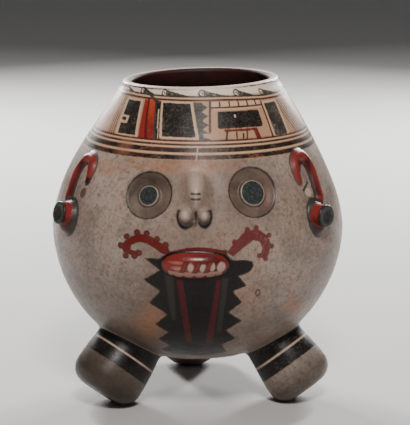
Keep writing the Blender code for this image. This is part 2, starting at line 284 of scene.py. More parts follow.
def relief(azimuth, rise):
    """Height of everything modelled on the wall, in metres along its normal."""
    flat = np.zeros(azimuth.shape)
    height = soft_max(nose_relief(azimuth, rise), flat, 0.0010)
    right = sideways(azimuth, rise, LIP_AZIMUTH)
    up = upward(rise, LIP_RISE)
    lip = pressed_dome(right, up, LIP_HALF_WIDTH, LIP_HALF_HEIGHT, LIP_PROUD, 2.4, 2.6)
    height = soft_max(height, lip, 0.0016)
    for ear in (LEFT_EAR, RIGHT_EAR):
        towards, above = ear_distances(azimuth, rise, ear)
        off, share = nearest_on_curve(towards - ear.hook_shift, above, HOOK_CURVE)
        width = hook_width(share, ear)
        roll = HOOK_PROUD * (width / ear.hook) * (1 - (off / width) ** 2.4)
        lobe = pressed_dome(towards, above + LOBE_DROP, ear.lobe, LOBE_HALF_HEIGHT, LOBE_PROUD, 2.0, 3.0)
        height = soft_max(height, soft_max(roll, lobe, 0.0020), 0.0010)
    for eye in (LEFT_EYE, RIGHT_EYE):
        height = height + eye_relief(azimuth, rise, eye)
    return height


def unevenness(azimuth, height):
    """The slight flats and swellings of a hand-built wall, never outside its true outline."""
    turn = np.radians(azimuth)
    waves = np.sin(3 * turn + 31 * height + 0.7) + 0.7 * np.sin(5 * turn - 44 * height + 2.1)
    waves += 0.5 * np.sin(8 * turn + 67 * height + 4.0) + 0.35 * np.sin(13 * turn - 90 * height + 1.0)
    return -0.00022 * (2.55 + waves) / 2.55 * 1.3


print("relief reaches", round(float(relief(np.array([-7.0]), np.array([0.034]))[0]) * 1000, 1), "mm")

# %% [markdown]
# ## The wall as one skin
# The whole pot, outside, rounded lip and inside, is one grid that goes round the axis. Its columns
# and rows stand close together where the face is and far apart at the back, so the triangles are
# spent where there is something to see.

# %% Wall
# Azimuth span in degrees and the width of a column there, in metres at the widest ring
COLUMN_SPANS = (
    (-180, -150, 0.0028),
    (-150, -96, 0.0060),
    (-96, -73, 0.0024),
    (-73, -47, 0.00118),
    (-47, -33, 0.0014),
    (-33, 35, 0.00118),
    (35, 41, 0.0014),
    (41, 67, 0.00118),
    (67, 96, 0.0024),
    (96, 155, 0.0060),
    (155, 180, 0.0028),
)
# Lowest height of a band and the distance between its rows along the outline
ROW_BANDS = ((0.0, 0.0040), (0.048, 0.0019), (0.130, 0.00120), (0.2225, 0.0022))
INSIDE_ROWS = 16
LIP_ROWS = 7


def column_azimuths():
    azimuths = []
    for start, end, width in COLUMN_SPANS:
        count = max(1, round(math.radians(end - start) * BELLY_RADIUS / width))
        azimuths.extend(np.linspace(start, end, count, endpoint=False))
    return np.array(azimuths)


def outline_rows(top):
    """Places along the outer outline, in metres of arc, spaced by the row bands."""
    radius, height = outline(0.0, 0.0, top)
    arc = np.concatenate([[0.0], np.cumsum(np.hypot(np.diff(radius), np.diff(height)))])
    places = [0.0]
    while places[-1] < arc[-1]:
        here = np.interp(places[-1], arc, height)
        gap = [spacing for lowest, spacing in ROW_BANDS if here >= lowest][-1]
        places.append(places[-1] + gap)
    places = np.array(places) * arc[-1] / places[-1]
    return np.interp(places, arc, radius), np.interp(places, arc, height)


def outline_normals(radius, height):
    """Outward normals of an outline, as radial and upward parts."""
    along_r, along_z = np.gradient(radius), np.gradient(height)
    length = np.hypot(along_r, along_z)
    return along_z / length, -along_r / length


def pot_skin():
    top = HEIGHT - LIP_ROUND
    azimuths = column_azimuths()
    rows_r, rows_z = outline_rows(top)
    normal_r, normal_z = outline_normals(rows_r, rows_z)
    normal_r[0], normal_z[0] = 0.0, -1.0
    inner_r, inner_z = outline(WALL, FLOOR, top)
    inner_arc = np.concatenate([[0.0], np.cumsum(np.hypot(np.diff(inner_r), np.diff(inner_z)))])
    inner_places = np.linspace(inner_arc[-1], 0.0, INSIDE_ROWS + 1)
    inside_r = np.interp(inner_places, inner_arc, inner_r)
    inside_z = np.interp(inner_places, inner_arc, inner_z)
    middle = (rows_r[-1] + inside_r[0]) / 2
    half = (rows_r[-1] - inside_r[0]) / 2
    lip_angles = np.pi * np.arange(1, LIP_ROWS) / LIP_ROWS
    lip_r = middle + half * np.cos(lip_angles)
    lip_z = top + LIP_ROUND * np.sin(lip_angles)
    rings = []
    for r, z, n_r, n_z in zip(rows_r[1:], rows_z[1:], normal_r[1:], normal_z[1:]):
        proud = relief(azimuths, np.full(azimuths.shape, z - BELLY_HEIGHT)) + unevenness(azimuths, z)
        fade = smooth_step((top - z) / 0.006)
        rings.append((r + n_r * proud * fade, z + n_z * proud * fade))
    for r, z in list(zip(lip_r, lip_z)) + list(zip(inside_r[:-1], inside_z[:-1])):
        rings.append((np.full(azimuths.shape, r), np.full(azimuths.shape, z)))
    turn = np.radians(azimuths)
    points = [np.stack([r * np.sin(turn), -r * np.cos(turn), z], axis=1) for r, z in rings]
    points.append(np.array([[0.0, 0.0, rows_z[0]], [0.0, 0.0, inside_z[-1]]]))
    points = settled(np.concatenate(points))
    columns, count = len(azimuths), len(rings)
    faces = []
    for k in range(count - 1):
        for i in range(columns):
            j = (i + 1) % columns
            faces.append((k * columns + i, k * columns + j, (k + 1) * columns + j, (k + 1) * columns + i))
    bottom, inside_bottom = count * columns, count * columns + 1
    last = (count - 1) * columns
    for i in range(columns):
        j = (i + 1) % columns
        faces.append((bottom, j, i))
        faces.append((inside_bottom, last + i, last + j))
    mesh = bpy.data.meshes.new("pot_skin")
    mesh.from_pydata([tuple(p) for p in points], [], faces)
    mesh.update()
    return mesh


def clay_object(name, mesh):
    piece = bpy.data.objects.new(name, mesh)
    bpy.context.scene.collection.objects.link(piece)
    return piece


vase = clay_object("painted_vase", pot_skin())
print("wall", len(vase.data.polygons), "faces")

# %% [markdown]
# ## Feet and ear spools
# A foot is a stub that leans outwards at 38.5 degrees, with a rounded sole worn flat where it stands.
# It can't be a height over the wall, so it is a turned solid that is joined with an exact Boolean. A
# little clay is first drawn out of the wall and out of the foot where they meet, as a finger would
# smear it, and the joint is then a soft valley instead of a hard crease.

# %% Foot and spool solids
LEFT_FOOT = (-59.0, 0.0320, 0.0770)
RIGHT_FOOT = (70.0, 0.0295, 0.0815)
BACK_FOOT = (185.5, 0.0305, 0.0790)
FEET = (LEFT_FOOT, RIGHT_FOOT, BACK_FOOT)
FOOT_WAIST = 0.0050
FOOT_ROUND = 0.0155
FOOT_TILT = math.radians(38.5)
FOOT_WEAR = 0.0010
FOOT_LENGTH = 0.075
FOOT_STEPS = 72
JOINT_REACH = 0.0060
SPOOL_ROUND = 0.0018
SPOOL_DISH = 0.0009
EMBED = 0.0030


def foot_place(foot):
    """The matrix from a foot's own frame, sole down on its axis, to the vase."""
    azimuth, radius, stance = foot
    flat = radius - FOOT_ROUND
    across = flat * math.cos(FOOT_TILT) + FOOT_ROUND * math.sin(FOOT_TILT)
    height = flat * math.sin(FOOT_TILT) + FOOT_ROUND * (1 - math.cos(FOOT_TILT)) - FOOT_WEAR
    sole = Matrix.Translation((0, -stance - across, height)) @ Matrix.Rotation(-FOOT_TILT, 4, "X")
    return Matrix.Rotation(math.radians(azimuth), 4, "Z") @ sole


def foot_radius(height, radius):
    share = (height - FOOT_ROUND) / (FOOT_LENGTH - FOOT_ROUND)
    return radius - FOOT_WAIST * smooth_step(share)


def transformed(points, matrix):
    """Many points at once through a matrix."""
    m = np.array(matrix)
    return points @ m[:3, :3].T + m[:3, 3]


def mesh_points(mesh):
    co = np.empty(len(mesh.vertices) * 3)
    mesh.vertices.foreach_get("co", co)
    return co.reshape(-1, 3)


def set_points(mesh, points):
    mesh.vertices.foreach_set("co", points.astype(float).ravel())
    mesh.update()


def above_outline(points, chunk=4000):
    """Distance of points outside the pot's outer surface, and the height of the nearest place on it."""
    line_r, line_z = outline(0.0, 0.0, HEIGHT - LIP_ROUND, 700)
    normal_r, normal_z = outline_normals(line_r, line_z)
    radius, height = np.hypot(points[:, 0], points[:, 1]), points[:, 2]
    proud, nearest = np.empty(len(points)), np.empty(len(points))
    for start in range(0, len(points), chunk):
        r, z = radius[start : start + chunk, None], height[start : start + chunk, None]
        index = ((r - line_r) ** 2 + (z - line_z) ** 2).argmin(axis=1)
        along = (r[:, 0] - line_r[index]) * normal_r[index] + (z[:, 0] - line_z[index]) * normal_z[index]
        proud[start : start + chunk] = along
        nearest[start : start + chunk] = z[:, 0] - along * normal_z[index]
    return proud, nearest


def drawn_out(gap):
    """How far clay is drawn out of one surface where the other is this far away."""
    return np.maximum(JOINT_REACH - np.maximum(gap, 0.0), 0.0) ** 2 / (4 * JOINT_REACH)


def turned_solid(name, profile, steps):
    bm = bmesh.new()
    verts = [bm.verts.new((radius, 0, height)) for radius, height in profile]
    edges = [bm.edges.new(pair) for pair in zip(verts, verts[1:])]
    bmesh.ops.spin(bm, geom=verts + edges, cent=(0, 0, 0), axis=(0, 0, 1), angle=2 * math.pi, steps=steps)
    bmesh.ops.remove_doubles(bm, verts=bm.verts, dist=1e-6)
    bmesh.ops.recalc_face_normals(bm, faces=bm.faces)
    mesh = bpy.data.meshes.new(name)
    bm.to_mesh(mesh)
    bm.free()
    return mesh


def join_clay(target, tool, operation):
    modifier = target.modifiers.new(operation.title(), "BOOLEAN")
    modifier.operation = operation
    modifier.solver = "EXACT"
    modifier.object = tool
    made = bpy.data.meshes.new_from_object(target.evaluated_get(bpy.context.evaluated_depsgraph_get()))
    target.modifiers.clear()
    target.data = made
    bpy.data.objects.remove(tool, do_unlink=True)


def inside_core():
    """A solid that fills the pot to the middle of its wall, to trim what is set into the wall."""
    radius, height = outline(WALL / 2, FLOOR / 2, HEIGHT, 40)
    return clay_object("core", turned_solid("core", list(zip(radius, height)) + [(0.0, HEIGHT)], 128))


def foot_solid(foot):
    azimuth, radius, stance = foot
    flat = radius - FOOT_ROUND
    profile = [(0.0, 0.0), (flat * 0.5, 0.0)]
    for angle in np.linspace(0, math.pi / 2, 12):
        profile.append((flat + FOOT_ROUND * math.sin(angle), FOOT_ROUND * (1 - math.cos(angle))))
    for height in np.linspace(FOOT_ROUND, FOOT_LENGTH, 30)[1:]:
        profile.append((float(foot_radius(height, radius)), float(height)))
    profile.append((0.0, FOOT_LENGTH))
    leg = clay_object("foot", turned_solid("foot", profile, FOOT_STEPS))
    place = foot_place(foot)
    points = transformed(mesh_points(leg.data), place)
    own = mesh_points(leg.data)
    proud, _ = above_outline(points)
    away = own.copy()
    away[:, 2] = 0.0
    reach = np.maximum(np.hypot(own[:, 0], own[:, 1]), 1e-6)[:, None]
    near_side = (np.hypot(own[:, 0], own[:, 1]) > 0.5 * radius)[:, None]
    turn = np.arctan2(own[:, 1], own[:, 0])
    dents = -0.00035 * (1 + np.sin(2 * turn + azimuth) * np.sin(90 * own[:, 2] + azimuth))
    moved = own + away / reach * (drawn_out(proud) + dents)[:, None] * near_side
    set_points(leg.data, transformed(moved, place))
    join_clay(leg, inside_core(), "DIFFERENCE")
    return leg


def wall_place(azimuth, rise):
    """A point of the wall and its outward normal."""
    turn = math.radians(azimuth)
    step = 0.0005

    def at(turned, risen):
        radius = float(outer_radius(risen))
        point = np.array([[radius * math.sin(turned), -radius * math.cos(turned), BELLY_HEIGHT + risen]])
        return Vector(settled(point)[0])

    around = at(turn + 0.009, rise) - at(turn - 0.009, rise)
    upwards = at(turn, rise + step) - at(turn, rise - step)
    return at(turn, rise), around.cross(upwards).normalized()


def spool_matrix(ear):
    point, normal = wall_place(ear.azimuth, ear.rise)
    away = Matrix.Rotation(math.radians(-ear.side * ear.turn), 3, "Z") @ normal
    level = away.cross(Vector((0, 0, 1))).normalized()
    away = Matrix.Rotation(math.radians(-ear.droop), 3, level) @ away
    return Matrix.Translation(point) @ away.to_track_quat("Z", "Y").to_matrix().to_4x4()


def spool_solid(ear):
    """The plug worn in the ear: a short barrel with a rounded edge and a slightly hollow end."""
    radius, reach = ear.spool, ear.reach
    profile = [(0.0, -EMBED), (radius, -EMBED)]
    for height in np.linspace(0.0, reach - SPOOL_ROUND, 8):
        flare = 0.0011 * (1 - smooth_step(height / 0.0115))
        profile.append((radius + flare - 0.0006, float(height)))
    for angle in np.linspace(0, math.pi / 2, 6):
        edge = radius - SPOOL_ROUND + SPOOL_ROUND * math.cos(angle)
        profile.append((edge, reach - SPOOL_ROUND + SPOOL_ROUND * math.sin(angle)))
    for share in np.linspace(0, 1, 6)[1:]:
        inner = (radius - SPOOL_ROUND) * (1 - share)
        profile.append((inner, reach - SPOOL_DISH * float(smooth_step(share * 2.2))))
    barrel = clay_object("spool", turned_solid("spool", profile, 56))
    barrel.data.transform(spool_matrix(ear))
    return barrel


# %% Clay drawn out of the wall, and everything joined
points = mesh_points(vase.data)
proud, _ = above_outline(unsettled(points))
turn = np.arctan2(points[:, 0], -points[:, 1])
for foot in FEET:
    own = transformed(points, foot_place(foot).inverted())
    gap = np.hypot(own[:, 0], own[:, 1]) - foot_radius(own[:, 2], foot[1])
    near = (own[:, 2] > 0.010) & (own[:, 2] < FOOT_LENGTH + 0.02) & (proud > -0.0035) & (points[:, 2] < 0.13)
    draw = drawn_out(gap) * near
    mesh_normals = np.empty(len(points) * 3)
    vase.data.vertices.foreach_get("normal", mesh_normals)
    points = points + mesh_normals.reshape(-1, 3) * draw[:, None]
set_points(vase.data, points)
for foot in FEET:
    join_clay(vase, foot_solid(foot), "UNION")
for ear in (LEFT_EAR, RIGHT_EAR):
    join_clay(vase, spool_solid(ear), "UNION")

# %% Wear flats where it stands
bm = bmesh.new()
bm.from_mesh(vase.data)
everything = bm.verts[:] + bm.edges[:] + bm.faces[:]
bmesh.ops.bisect_plane(bm, geom=everything, plane_co=(0, 0, 0), plane_no=(0, 0, -1), clear_outer=True)
bmesh.ops.holes_fill(bm, edges=[e for e in bm.edges if e.is_boundary], sides=0)
bmesh.ops.triangulate(bm, faces=bm.faces)
bmesh.ops.dissolve_degenerate(bm, dist=1e-7, edges=bm.edges)
bmesh.ops.recalc_face_normals(bm, faces=bm.faces)
open_edges = sum(1 for edge in bm.edges if not edge.is_manifold)
bm.to_mesh(vase.data)
bm.free()
vase.data.shade_smooth()
vase.location.y = AXIS_BACK
print(len(vase.data.polygons), "triangles, open edges", open_edges)

# %% [markdown]
# ## Where the paint goes: shapes drawn on the wall
# The broad painted shapes, such as the beard with its teeth and the curled moustache, are drawn as
# outlines in millimetres on the front of the pot. For each point of the mesh we keep its distance to
# the outline, less than zero inside, as a named attribute. A material that cuts such a smooth distance
# at zero gets a crisp painted edge, much finer than the mesh itself.

# %% Drawn shapes, in millimetres to the right of the axis and above the floor
LEFT_MOUSTACHE = (
    (-21.1, 150.4), (-23.8, 156.6), (-32.0, 161.6), (-39.3, 165.6), (-46.6, 166.0), (-54.0, 163.5),
    (-59.5, 159.2), (-62.4, 154.4), (-59.6, 150.2), (-54.9, 148.8), (-48.5, 149.5), (-48.0, 153.6),
    (-50.3, 152.1), (-54.9, 152.5), (-54.0, 157.1), (-47.5, 160.4), (-41.1, 159.6), (-34.7, 156.0),
    (-28.4, 151.8),
)
RIGHT_MOUSTACHE = (
    (24.0, 153.0), (31.2, 161.6), (39.4, 169.2), (49.5, 170.2), (57.7, 164.0), (60.5, 156.4),
    (58.7, 149.3), (56.0, 145.0), (49.5, 147.5), (52.3, 150.1), (53.2, 155.4), (50.4, 160.2),
    (45.8, 161.5), (37.6, 155.8), (29.4, 149.1),
)
LEFT_KNOBS = (
    (-25.5, 158.8), (-32.6, 163.2), (-41.0, 167.2), (-49.0, 167.3), (-57.6, 163.2), (-62.6, 155.6),
    (-58.5, 147.4), (-51.3, 147.8), (-47.3, 151.0),
)
RIGHT_KNOBS = (
    (30.4, 160.9), (41.0, 170.2), (48.2, 170.9), (58.8, 164.2), (61.0, 155.0), (56.0, 145.0),
    (50.9, 148.3),
)
MOUTH_ARCH = ((-20.2, 151.8), (-7.6, 154.8), (6.0, 155.3), (22.2, 152.6))
BEARD = (
    (-28.4, 147.0), (-43.0, 147.2), (-29.8, 137.7), (-43.6, 128.3), (-30.0, 119.0), (-39.4, 107.3),
    (-24.3, 97.3), (-34.7, 86.2), (-23.7, 78.9), (-32.3, 70.4), (-23.1, 63.3), (-30.8, 56.7),
    (-19.0, 52.5), (0.0, 50.8), (15.0, 52.0), (24.8, 54.4), (19.9, 65.0), (32.0, 71.1), (23.5, 81.3),
    (36.4, 90.0), (25.2, 99.4), (36.6, 108.1), (28.7, 119.0), (40.1, 123.2), (33.2, 132.6),
    (38.5, 133.6), (43.5, 136.0), (46.0, 140.2), (44.8, 143.8), (40.0, 145.4), (30.0, 145.6),
    (25.8, 146.2), (15.0, 152.2), (-1.3, 154.6),
    (-16.6, 152.2),
)
BEARD_RED = (
    ((-16.7, 129.6), (-11.7, 129.6), (-4.3, 68.5), (-9.0, 68.5)),
    ((15.9, 129.6), (19.5, 129.6), (12.5, 68.5), (6.9, 68.5)),
)
BEARD_WORN = (
    ((-26.7, 135.0), (-19.8, 135.0), (-17.4, 92.0), (-21.0, 92.0)),
    ((20.6, 131.0), (25.4, 131.0), (20.0, 80.0), (15.8, 80.0)),
)
FAR_AWAY = 99.0
# Heights above a foot's sole, along its axis, of the lower band's edges and the upper band's edge
FOOT_BANDS = (27.0, 38.5, 40.6)
BAND_LEAN = 0.04  # the left foot's bands rise this much across it
# Orange clouds from the fire, at the front: right, up, half width, half height, strength
FIRE_CLOUDS = (
    (-40.0, 88.0, 18.0, 28.0, 0.40),
    (-77.0, 214.0, 16.0, 9.0, 0.38),
    (80.0, 96.0, 14.0, 12.0, 0.55),
    (45.0, 118.0, 18.0, 26.0, 0.15),
    (-10.0, 219.0, 70.0, 9.0, 0.42),
)


def shape_distance(x, z, shape):
    """Distance of many points to a closed outline, negative inside it."""
    inside = np.zeros(x.shape, dtype=bool)
    nearest = np.full(x.shape, 1e9)
    for (ax, az), (bx, bz) in zip(shape, shape[1:] + shape[:1]):
        way_x, way_z = bx - ax, bz - az
        t = np.clip(((x - ax) * way_x + (z - az) * way_z) / (way_x**2 + way_z**2), 0.0, 1.0)
        nearest = np.minimum(nearest, np.hypot(x - ax - t * way_x, z - az - t * way_z))
        if az != bz:
            crosses = ((az > z) != (bz > z)) & (x < way_x * (z - az) / way_z + ax)
            inside ^= crosses
    return np.where(inside, -nearest, nearest)


def nearest_of(x, z, shapes):
    return np.minimum.reduce([shape_distance(x, z, shape) for shape in shapes])


def knob_distance(x, z, knobs, radius):
    return np.minimum.reduce([np.hypot(x - kx, z - kz) - radius for kx, kz in knobs])


# %% Distances kept on the mesh
def keep(name, values):
    """Stores one number per point of the vase under a name that a material can ask for."""
    kept = vase.data.attributes.new(name, "FLOAT", "POINT")
    kept.data.foreach_set("value", np.asarray(values, dtype=np.float32))


points = mesh_points(vase.data)
round_points = unsettled(points)
proud, nearest_height = above_outline(round_points)
azimuth = np.degrees(np.arctan2(round_points[:, 0], -round_points[:, 1]))
rise = nearest_height - BELLY_HEIGHT
x_mm, z_mm = points[:, 0] * 1000, nearest_height * 1000
front = (np.abs(azimuth) < 75) & (proud > -0.0045)


def on_front(values):
    return np.where(front, values, FAR_AWAY)


arch, _ = nearest_on_curve(x_mm, z_mm, curve_points(MOUTH_ARCH, 24))
red = np.minimum(shape_distance(x_mm, z_mm, LEFT_MOUSTACHE), arch - 1.7)
keep("strong_red", on_front(red))
keep("left_knobs", on_front(knob_distance(x_mm, z_mm, LEFT_KNOBS, 2.3)))
pale = np.minimum(
    shape_distance(x_mm, z_mm, RIGHT_MOUSTACHE), knob_distance(x_mm, z_mm, RIGHT_KNOBS, 2.2)
)
keep("pale_red", on_front(pale))
keep("beard", on_front(shape_distance(x_mm, z_mm, BEARD)))
keep("beard_red", on_front(nearest_of(x_mm, z_mm, BEARD_RED)))
keep("beard_worn", on_front(nearest_of(x_mm, z_mm, BEARD_WORN)))
lip_right = sideways(azimuth, rise, LIP_AZIMUTH) / LIP_HALF_WIDTH
lip_up = upward(rise, LIP_RISE) / LIP_HALF_HEIGHT
lip_size = (np.abs(lip_right) ** 2.4 + np.abs(lip_up) ** 2.4) ** (1 / 2.4)
keep("lip_edge", on_front((lip_size - 1) * LIP_HALF_HEIGHT * 1000))
keep("lip_right", lip_right * LIP_HALF_WIDTH * 1000)
keep("lip_up", lip_up * LIP_HALF_HEIGHT * 1000)

# %% Eyes, ears and feet
socket_gap = np.full(len(points), FAR_AWAY)
pupil_gap = np.full(len(points), FAR_AWAY)
for middle, eye_rise, socket, pupil in (LEFT_EYE, RIGHT_EYE):
    away = np.hypot(sideways(azimuth, rise, middle), upward(rise, eye_rise))
    socket_gap = np.minimum(socket_gap, on_front((away - socket) * 1000))
    pupil_gap = np.minimum(pupil_gap, on_front((away - pupil) * 1000))
keep("socket_gap", socket_gap)
keep("pupil_gap", pupil_gap)

hook_gap = np.full(len(points), FAR_AWAY)
lobe_gap = np.full(len(points), FAR_AWAY)
ear_towards = np.full(len(points), FAR_AWAY)
ear_above = np.full(len(points), FAR_AWAY)
spool_end = np.full(len(points), -FAR_AWAY)
spool_radial = np.full(len(points), FAR_AWAY)
for ear in (LEFT_EAR, RIGHT_EAR):
    towards, above = ear_distances(azimuth, rise, ear)
    off, share = nearest_on_curve(towards - ear.hook_shift, above, HOOK_CURVE)
    hook_gap = np.minimum(hook_gap, on_front((off - hook_width(share, ear)) * 1000))
    size = np.hypot(towards / ear.lobe, (above + LOBE_DROP) / LOBE_HALF_HEIGHT)
    lobe_gap = np.minimum(lobe_gap, on_front((size - 1) * ear.lobe * 1000))
    this_side = np.sign(azimuth) == ear.side
    ear_towards = np.where(this_side, (towards - ear.hook_shift) * 1000, ear_towards)
    ear_above = np.where(this_side, above * 1000, ear_above)
    own = transformed(points, spool_matrix(ear).inverted())
    radial = np.hypot(own[:, 0], own[:, 1])
    near = (radial < 0.03) & (np.abs(own[:, 2]) < 0.03)
    spool_radial = np.where(near, (radial - ear.spool) * 1000, spool_radial)
    spool_end = np.where(near, (own[:, 2] - ear.reach) * 1000, spool_end)
keep("hook_gap", hook_gap)
keep("lobe_gap", lobe_gap)
keep("ear_towards", on_front(ear_towards))
keep("ear_above", on_front(ear_above))
keep("spool_radial", spool_radial)
keep("spool_end", spool_end)

foot_side = np.full(len(points), -FAR_AWAY)
foot_rise = np.zeros(len(points))
for foot in FEET:
    own = transformed(points, foot_place(foot).inverted())
    gap = np.hypot(own[:, 0], own[:, 1]) - foot_radius(own[:, 2], foot[1])
    near = (gap < 0.02) & (own[:, 2] < FOOT_LENGTH + 0.01)
    side = np.where(near, (proud - np.maximum(gap, 0)) * 1000, -FAR_AWAY)
    closer = side > foot_side
    foot_side = np.where(closer, side, foot_side)
    band_rise = own[:, 2] + own[:, 0] * (BAND_LEAN if foot is LEFT_FOOT else 0.0)
    foot_rise = np.where(closer, band_rise * 1000, foot_rise)
keep("foot_side", foot_side)
keep("foot_rise", foot_rise)
print(len(vase.data.attributes), "attributes kept")

# %% [markdown]
# ## Shader arithmetic in readable form
# A frieze is painted with many small strokes. Each one is a distance in millimetres, worked out from
# the azimuth and the height of the point being shaded. A small class turns ordinary sums and products
# in Python into Math nodes, so each stroke can be written as one line.

# %% Values that make nodes


class Value:
    """A number that changes over the surface, as the output of a node in a tree."""

    def __init__(self, tree, socket):
        self.tree = tree
        self.socket = socket

    def math(self, operation, *others, clamp=False):
        node = self.tree.nodes.new("ShaderNodeMath")
        node.operation = operation
        node.use_clamp = clamp
        for slot, value in enumerate((self,) + others):
            feed(self.tree, node.inputs[slot], value)
        return Value(self.tree, node.outputs[0])

    def __add__(self, other):
        return self.math("ADD", other)

    def __sub__(self, other):
        return self.math("SUBTRACT", other)

    def __mul__(self, other):
        return self.math("MULTIPLY", other)

    def __truediv__(self, other):
        return self.math("DIVIDE", other)

    def __rsub__(self, other):
        return self.math("MULTIPLY_ADD", -1.0, other)

    __radd__ = __add__
    __rmul__ = __mul__

    def size(self):
        return self.math("ABSOLUTE")

    def at_least(self, other):
        return self.math("MAXIMUM", other)

    def at_most(self, other):
        return self.math("MINIMUM", other)

    def between(self, low, high):
        """0 at low and under, 1 at high and over."""
        node = self.tree.nodes.new("ShaderNodeMapRange")
        node.clamp = True
        feed(self.tree, node.inputs["Value"], self)
        feed(self.tree, node.inputs["From Min"], low)
        feed(self.tree, node.inputs["From Max"], high)
        return Value(self.tree, node.outputs["Result"])


def feed(tree, socket, value):
    """Links a Value to a socket, or sets the socket to a plain number or colour."""
    if isinstance(value, Value):
        tree.links.new(value.socket, socket)
    elif isinstance(value, tuple) and len(value) == 3 and len(socket.default_value) == 4:
        socket.default_value = value + (1.0,)
    else:
        socket.default_value = value


def new_group(name, inputs, outputs):
    tree = bpy.data.node_groups.new(name, "ShaderNodeTree")
    kinds = {"f": "NodeSocketFloat", "c": "NodeSocketColor", "v": "NodeSocketVector"}
    for label, kind in inputs:
        tree.interface.new_socket(label, in_out="INPUT", socket_type=kinds[kind])
    for label, kind in outputs:
        tree.interface.new_socket(label, in_out="OUTPUT", socket_type=kinds[kind])
    came = tree.nodes.new("NodeGroupInput")
    gone = tree.nodes.new("NodeGroupOutput")
    return tree, {label: Value(tree, came.outputs[label]) for label, _ in inputs}, gone


def use_group(tree, group, **values):
    """Places a node group; underscores in the names stand for spaces."""
    node = tree.nodes.new("ShaderNodeGroup")
    node.node_tree = group
    for label, value in values.items():
        feed(tree, node.inputs[label.replace("_", " ")], value)
    return {socket.name: Value(tree, socket) for socket in node.outputs}


def attribute(tree, name):
    node = tree.nodes.new("ShaderNodeAttribute")
    node.attribute_type = "GEOMETRY"
    node.attribute_name = name
    return Value(tree, node.outputs["Fac"])


def noise(tree, coordinates, scale, detail=3.0, roughness=0.55, distortion=0.0):
    node = tree.nodes.new("ShaderNodeTexNoise")
    feed(tree, node.inputs["Vector"], coordinates)
    node.inputs["Scale"].default_value = scale
    node.inputs["Detail"].default_value = detail
    node.inputs["Roughness"].default_value = roughness
    node.inputs["Distortion"].default_value = distortion
    return Value(tree, node.outputs["Fac"])


def over(tree, below, paint, mask):
    """The colour below with a paint laid over it where the mask is 1."""
    node = tree.nodes.new("ShaderNodeMix")
    node.data_type = "RGBA"
    feed(tree, node.inputs[0], mask)
    feed(tree, node.inputs[6], below)
    feed(tree, node.inputs[7], paint)
    return Value(tree, node.outputs[2])


# %% Groups that every painted part uses
PAINT_SHIFT = 3.8  # how far the frieze, in mm, is set to the right at the rim
SETTLING_MM = (BELLY_HEIGHT + SETTLING_RISE) * 1000
RIM_MM = HEIGHT * 1000
BELLY_RADIUS_MM = BELLY_RADIUS * 1000
# The shoulder as a straight cone, near enough to turn degrees into millimetres of paint
CONE_SLOPE = 0.655
CONE_RIM_RADIUS = 65.5
PANEL_INPUTS = (
    "Azimuth", "Height", "Around", "Left top", "Left bottom", "Right top", "Right bottom", "Top", "Bottom",
    "Rounding",
)
panel_group, given, end = new_group("painted_panel", [(n, "f") for n in PANEL_INPUTS], [("Distance", "f")])
share = (given["Height"] - given["Bottom"]) / (given["Top"] - given["Bottom"])
left = (given["Left top"] - given["Left bottom"]) * share + given["Left bottom"]
right = (given["Right top"] - given["Right bottom"]) * share + given["Right bottom"]
out_sideways = (left - given["Azimuth"]).at_least(given["Azimuth"] - right) * given["Around"]
out_sideways = out_sideways + given["Rounding"]
out_upward = (given["Height"] - given["Top"]).at_least(given["Bottom"] - given["Height"]) + given["Rounding"]
inner = out_sideways.at_least(out_upward).at_most(0.0)
outer_x, outer_y = out_sideways.at_least(0.0), out_upward.at_least(0.0)
outer = (outer_x * outer_x + outer_y * outer_y).math("SQRT")
feed(panel_group, end.inputs["Distance"], inner + outer - given["Rounding"])

edge_group, given, end = new_group(
    "painted_edge", [("Distance", "f"), ("Wobble", "f"), ("Softness", "f")], [("Mask", "f")]
)
edge = 0.5 - (given["Distance"] + given["Wobble"]) / given["Softness"]
feed(edge_group, end.inputs["Mask"], edge.math("ADD", 0.0, clamp=True))

PLACES = ("Azimuth", "Height", "Around", "Rim height")
places_group, given, end = new_group("places_on_vase", [("Object", "v")], [(n, "f") for n in PLACES])
split = places_group.nodes.new("ShaderNodeSeparateXYZ")
feed(places_group, split.inputs[0], given["Object"])
x, y, z = [Value(places_group, s) * 1000.0 for s in split.outputs]
shifted = z.between(SETTLING_MM, RIM_MM)
shifted = shifted * shifted * (3.0 - shifted * 2.0)
x_round = x - shifted * PAINT_SHIFT
azimuth_value = x_round.math("ARCTAN2", y * -1.0) * (180 / math.pi)
feed(places_group, end.inputs["Azimuth"], azimuth_value)
feed(places_group, end.inputs["Height"], z)
cone_radius = ((RIM_MM - z) * CONE_SLOPE + CONE_RIM_RADIUS).at_most(BELLY_RADIUS_MM)
feed(places_group, end.inputs["Around"], cone_radius * (math.pi / 180))
feed(places_group, end.inputs["Rim height"], z - x_round * shifted * math.tan(MOUTH_TILT))
print("groups", [g.name for g in bpy.data.node_groups])

# %% [markdown]
# ## Slip colours
# The potter had three slips: a cream from pale clay, a black from ground iron and manganese, and a
# red that is orange where it lies thick. Under them is the tan clay, clouded by the fire.

# %% Palette, in linear light
CREAM = (0.60, 0.41, 0.27)
# The scrolls' cream ground: the cream slip, made paler still as a painted highlight
CREAM_WITH_PAINTED_SHEEN = (0.84, 0.71, 0.58)
GROUND = (0.50, 0.28, 0.155)
BLACK = (0.0065, 0.0055, 0.0050)
GREY_BLACK = (0.048, 0.040, 0.033)
WORN_GREY = (0.115, 0.100, 0.086)
RED = (0.23, 0.022, 0.016)
ORANGE_RED = (0.46, 0.060, 0.022)
PALE_RED = (0.125, 0.021, 0.022)
DARK_RED = (0.075, 0.014, 0.012)
BROWN = (0.050, 0.024, 0.016)
FIRE_ORANGE = (0.40, 0.150, 0.045)

# %% [markdown]
# ## The frieze
# Round the shoulder runs a band of panels between ruled lines, with a row of running scrolls under
# the rim. The front panels are laid out one by one as tables of numbers, from left to right. The back
# isn't seen in the photograph; there the same scrolls and a plainer row of panels go on round the pot.

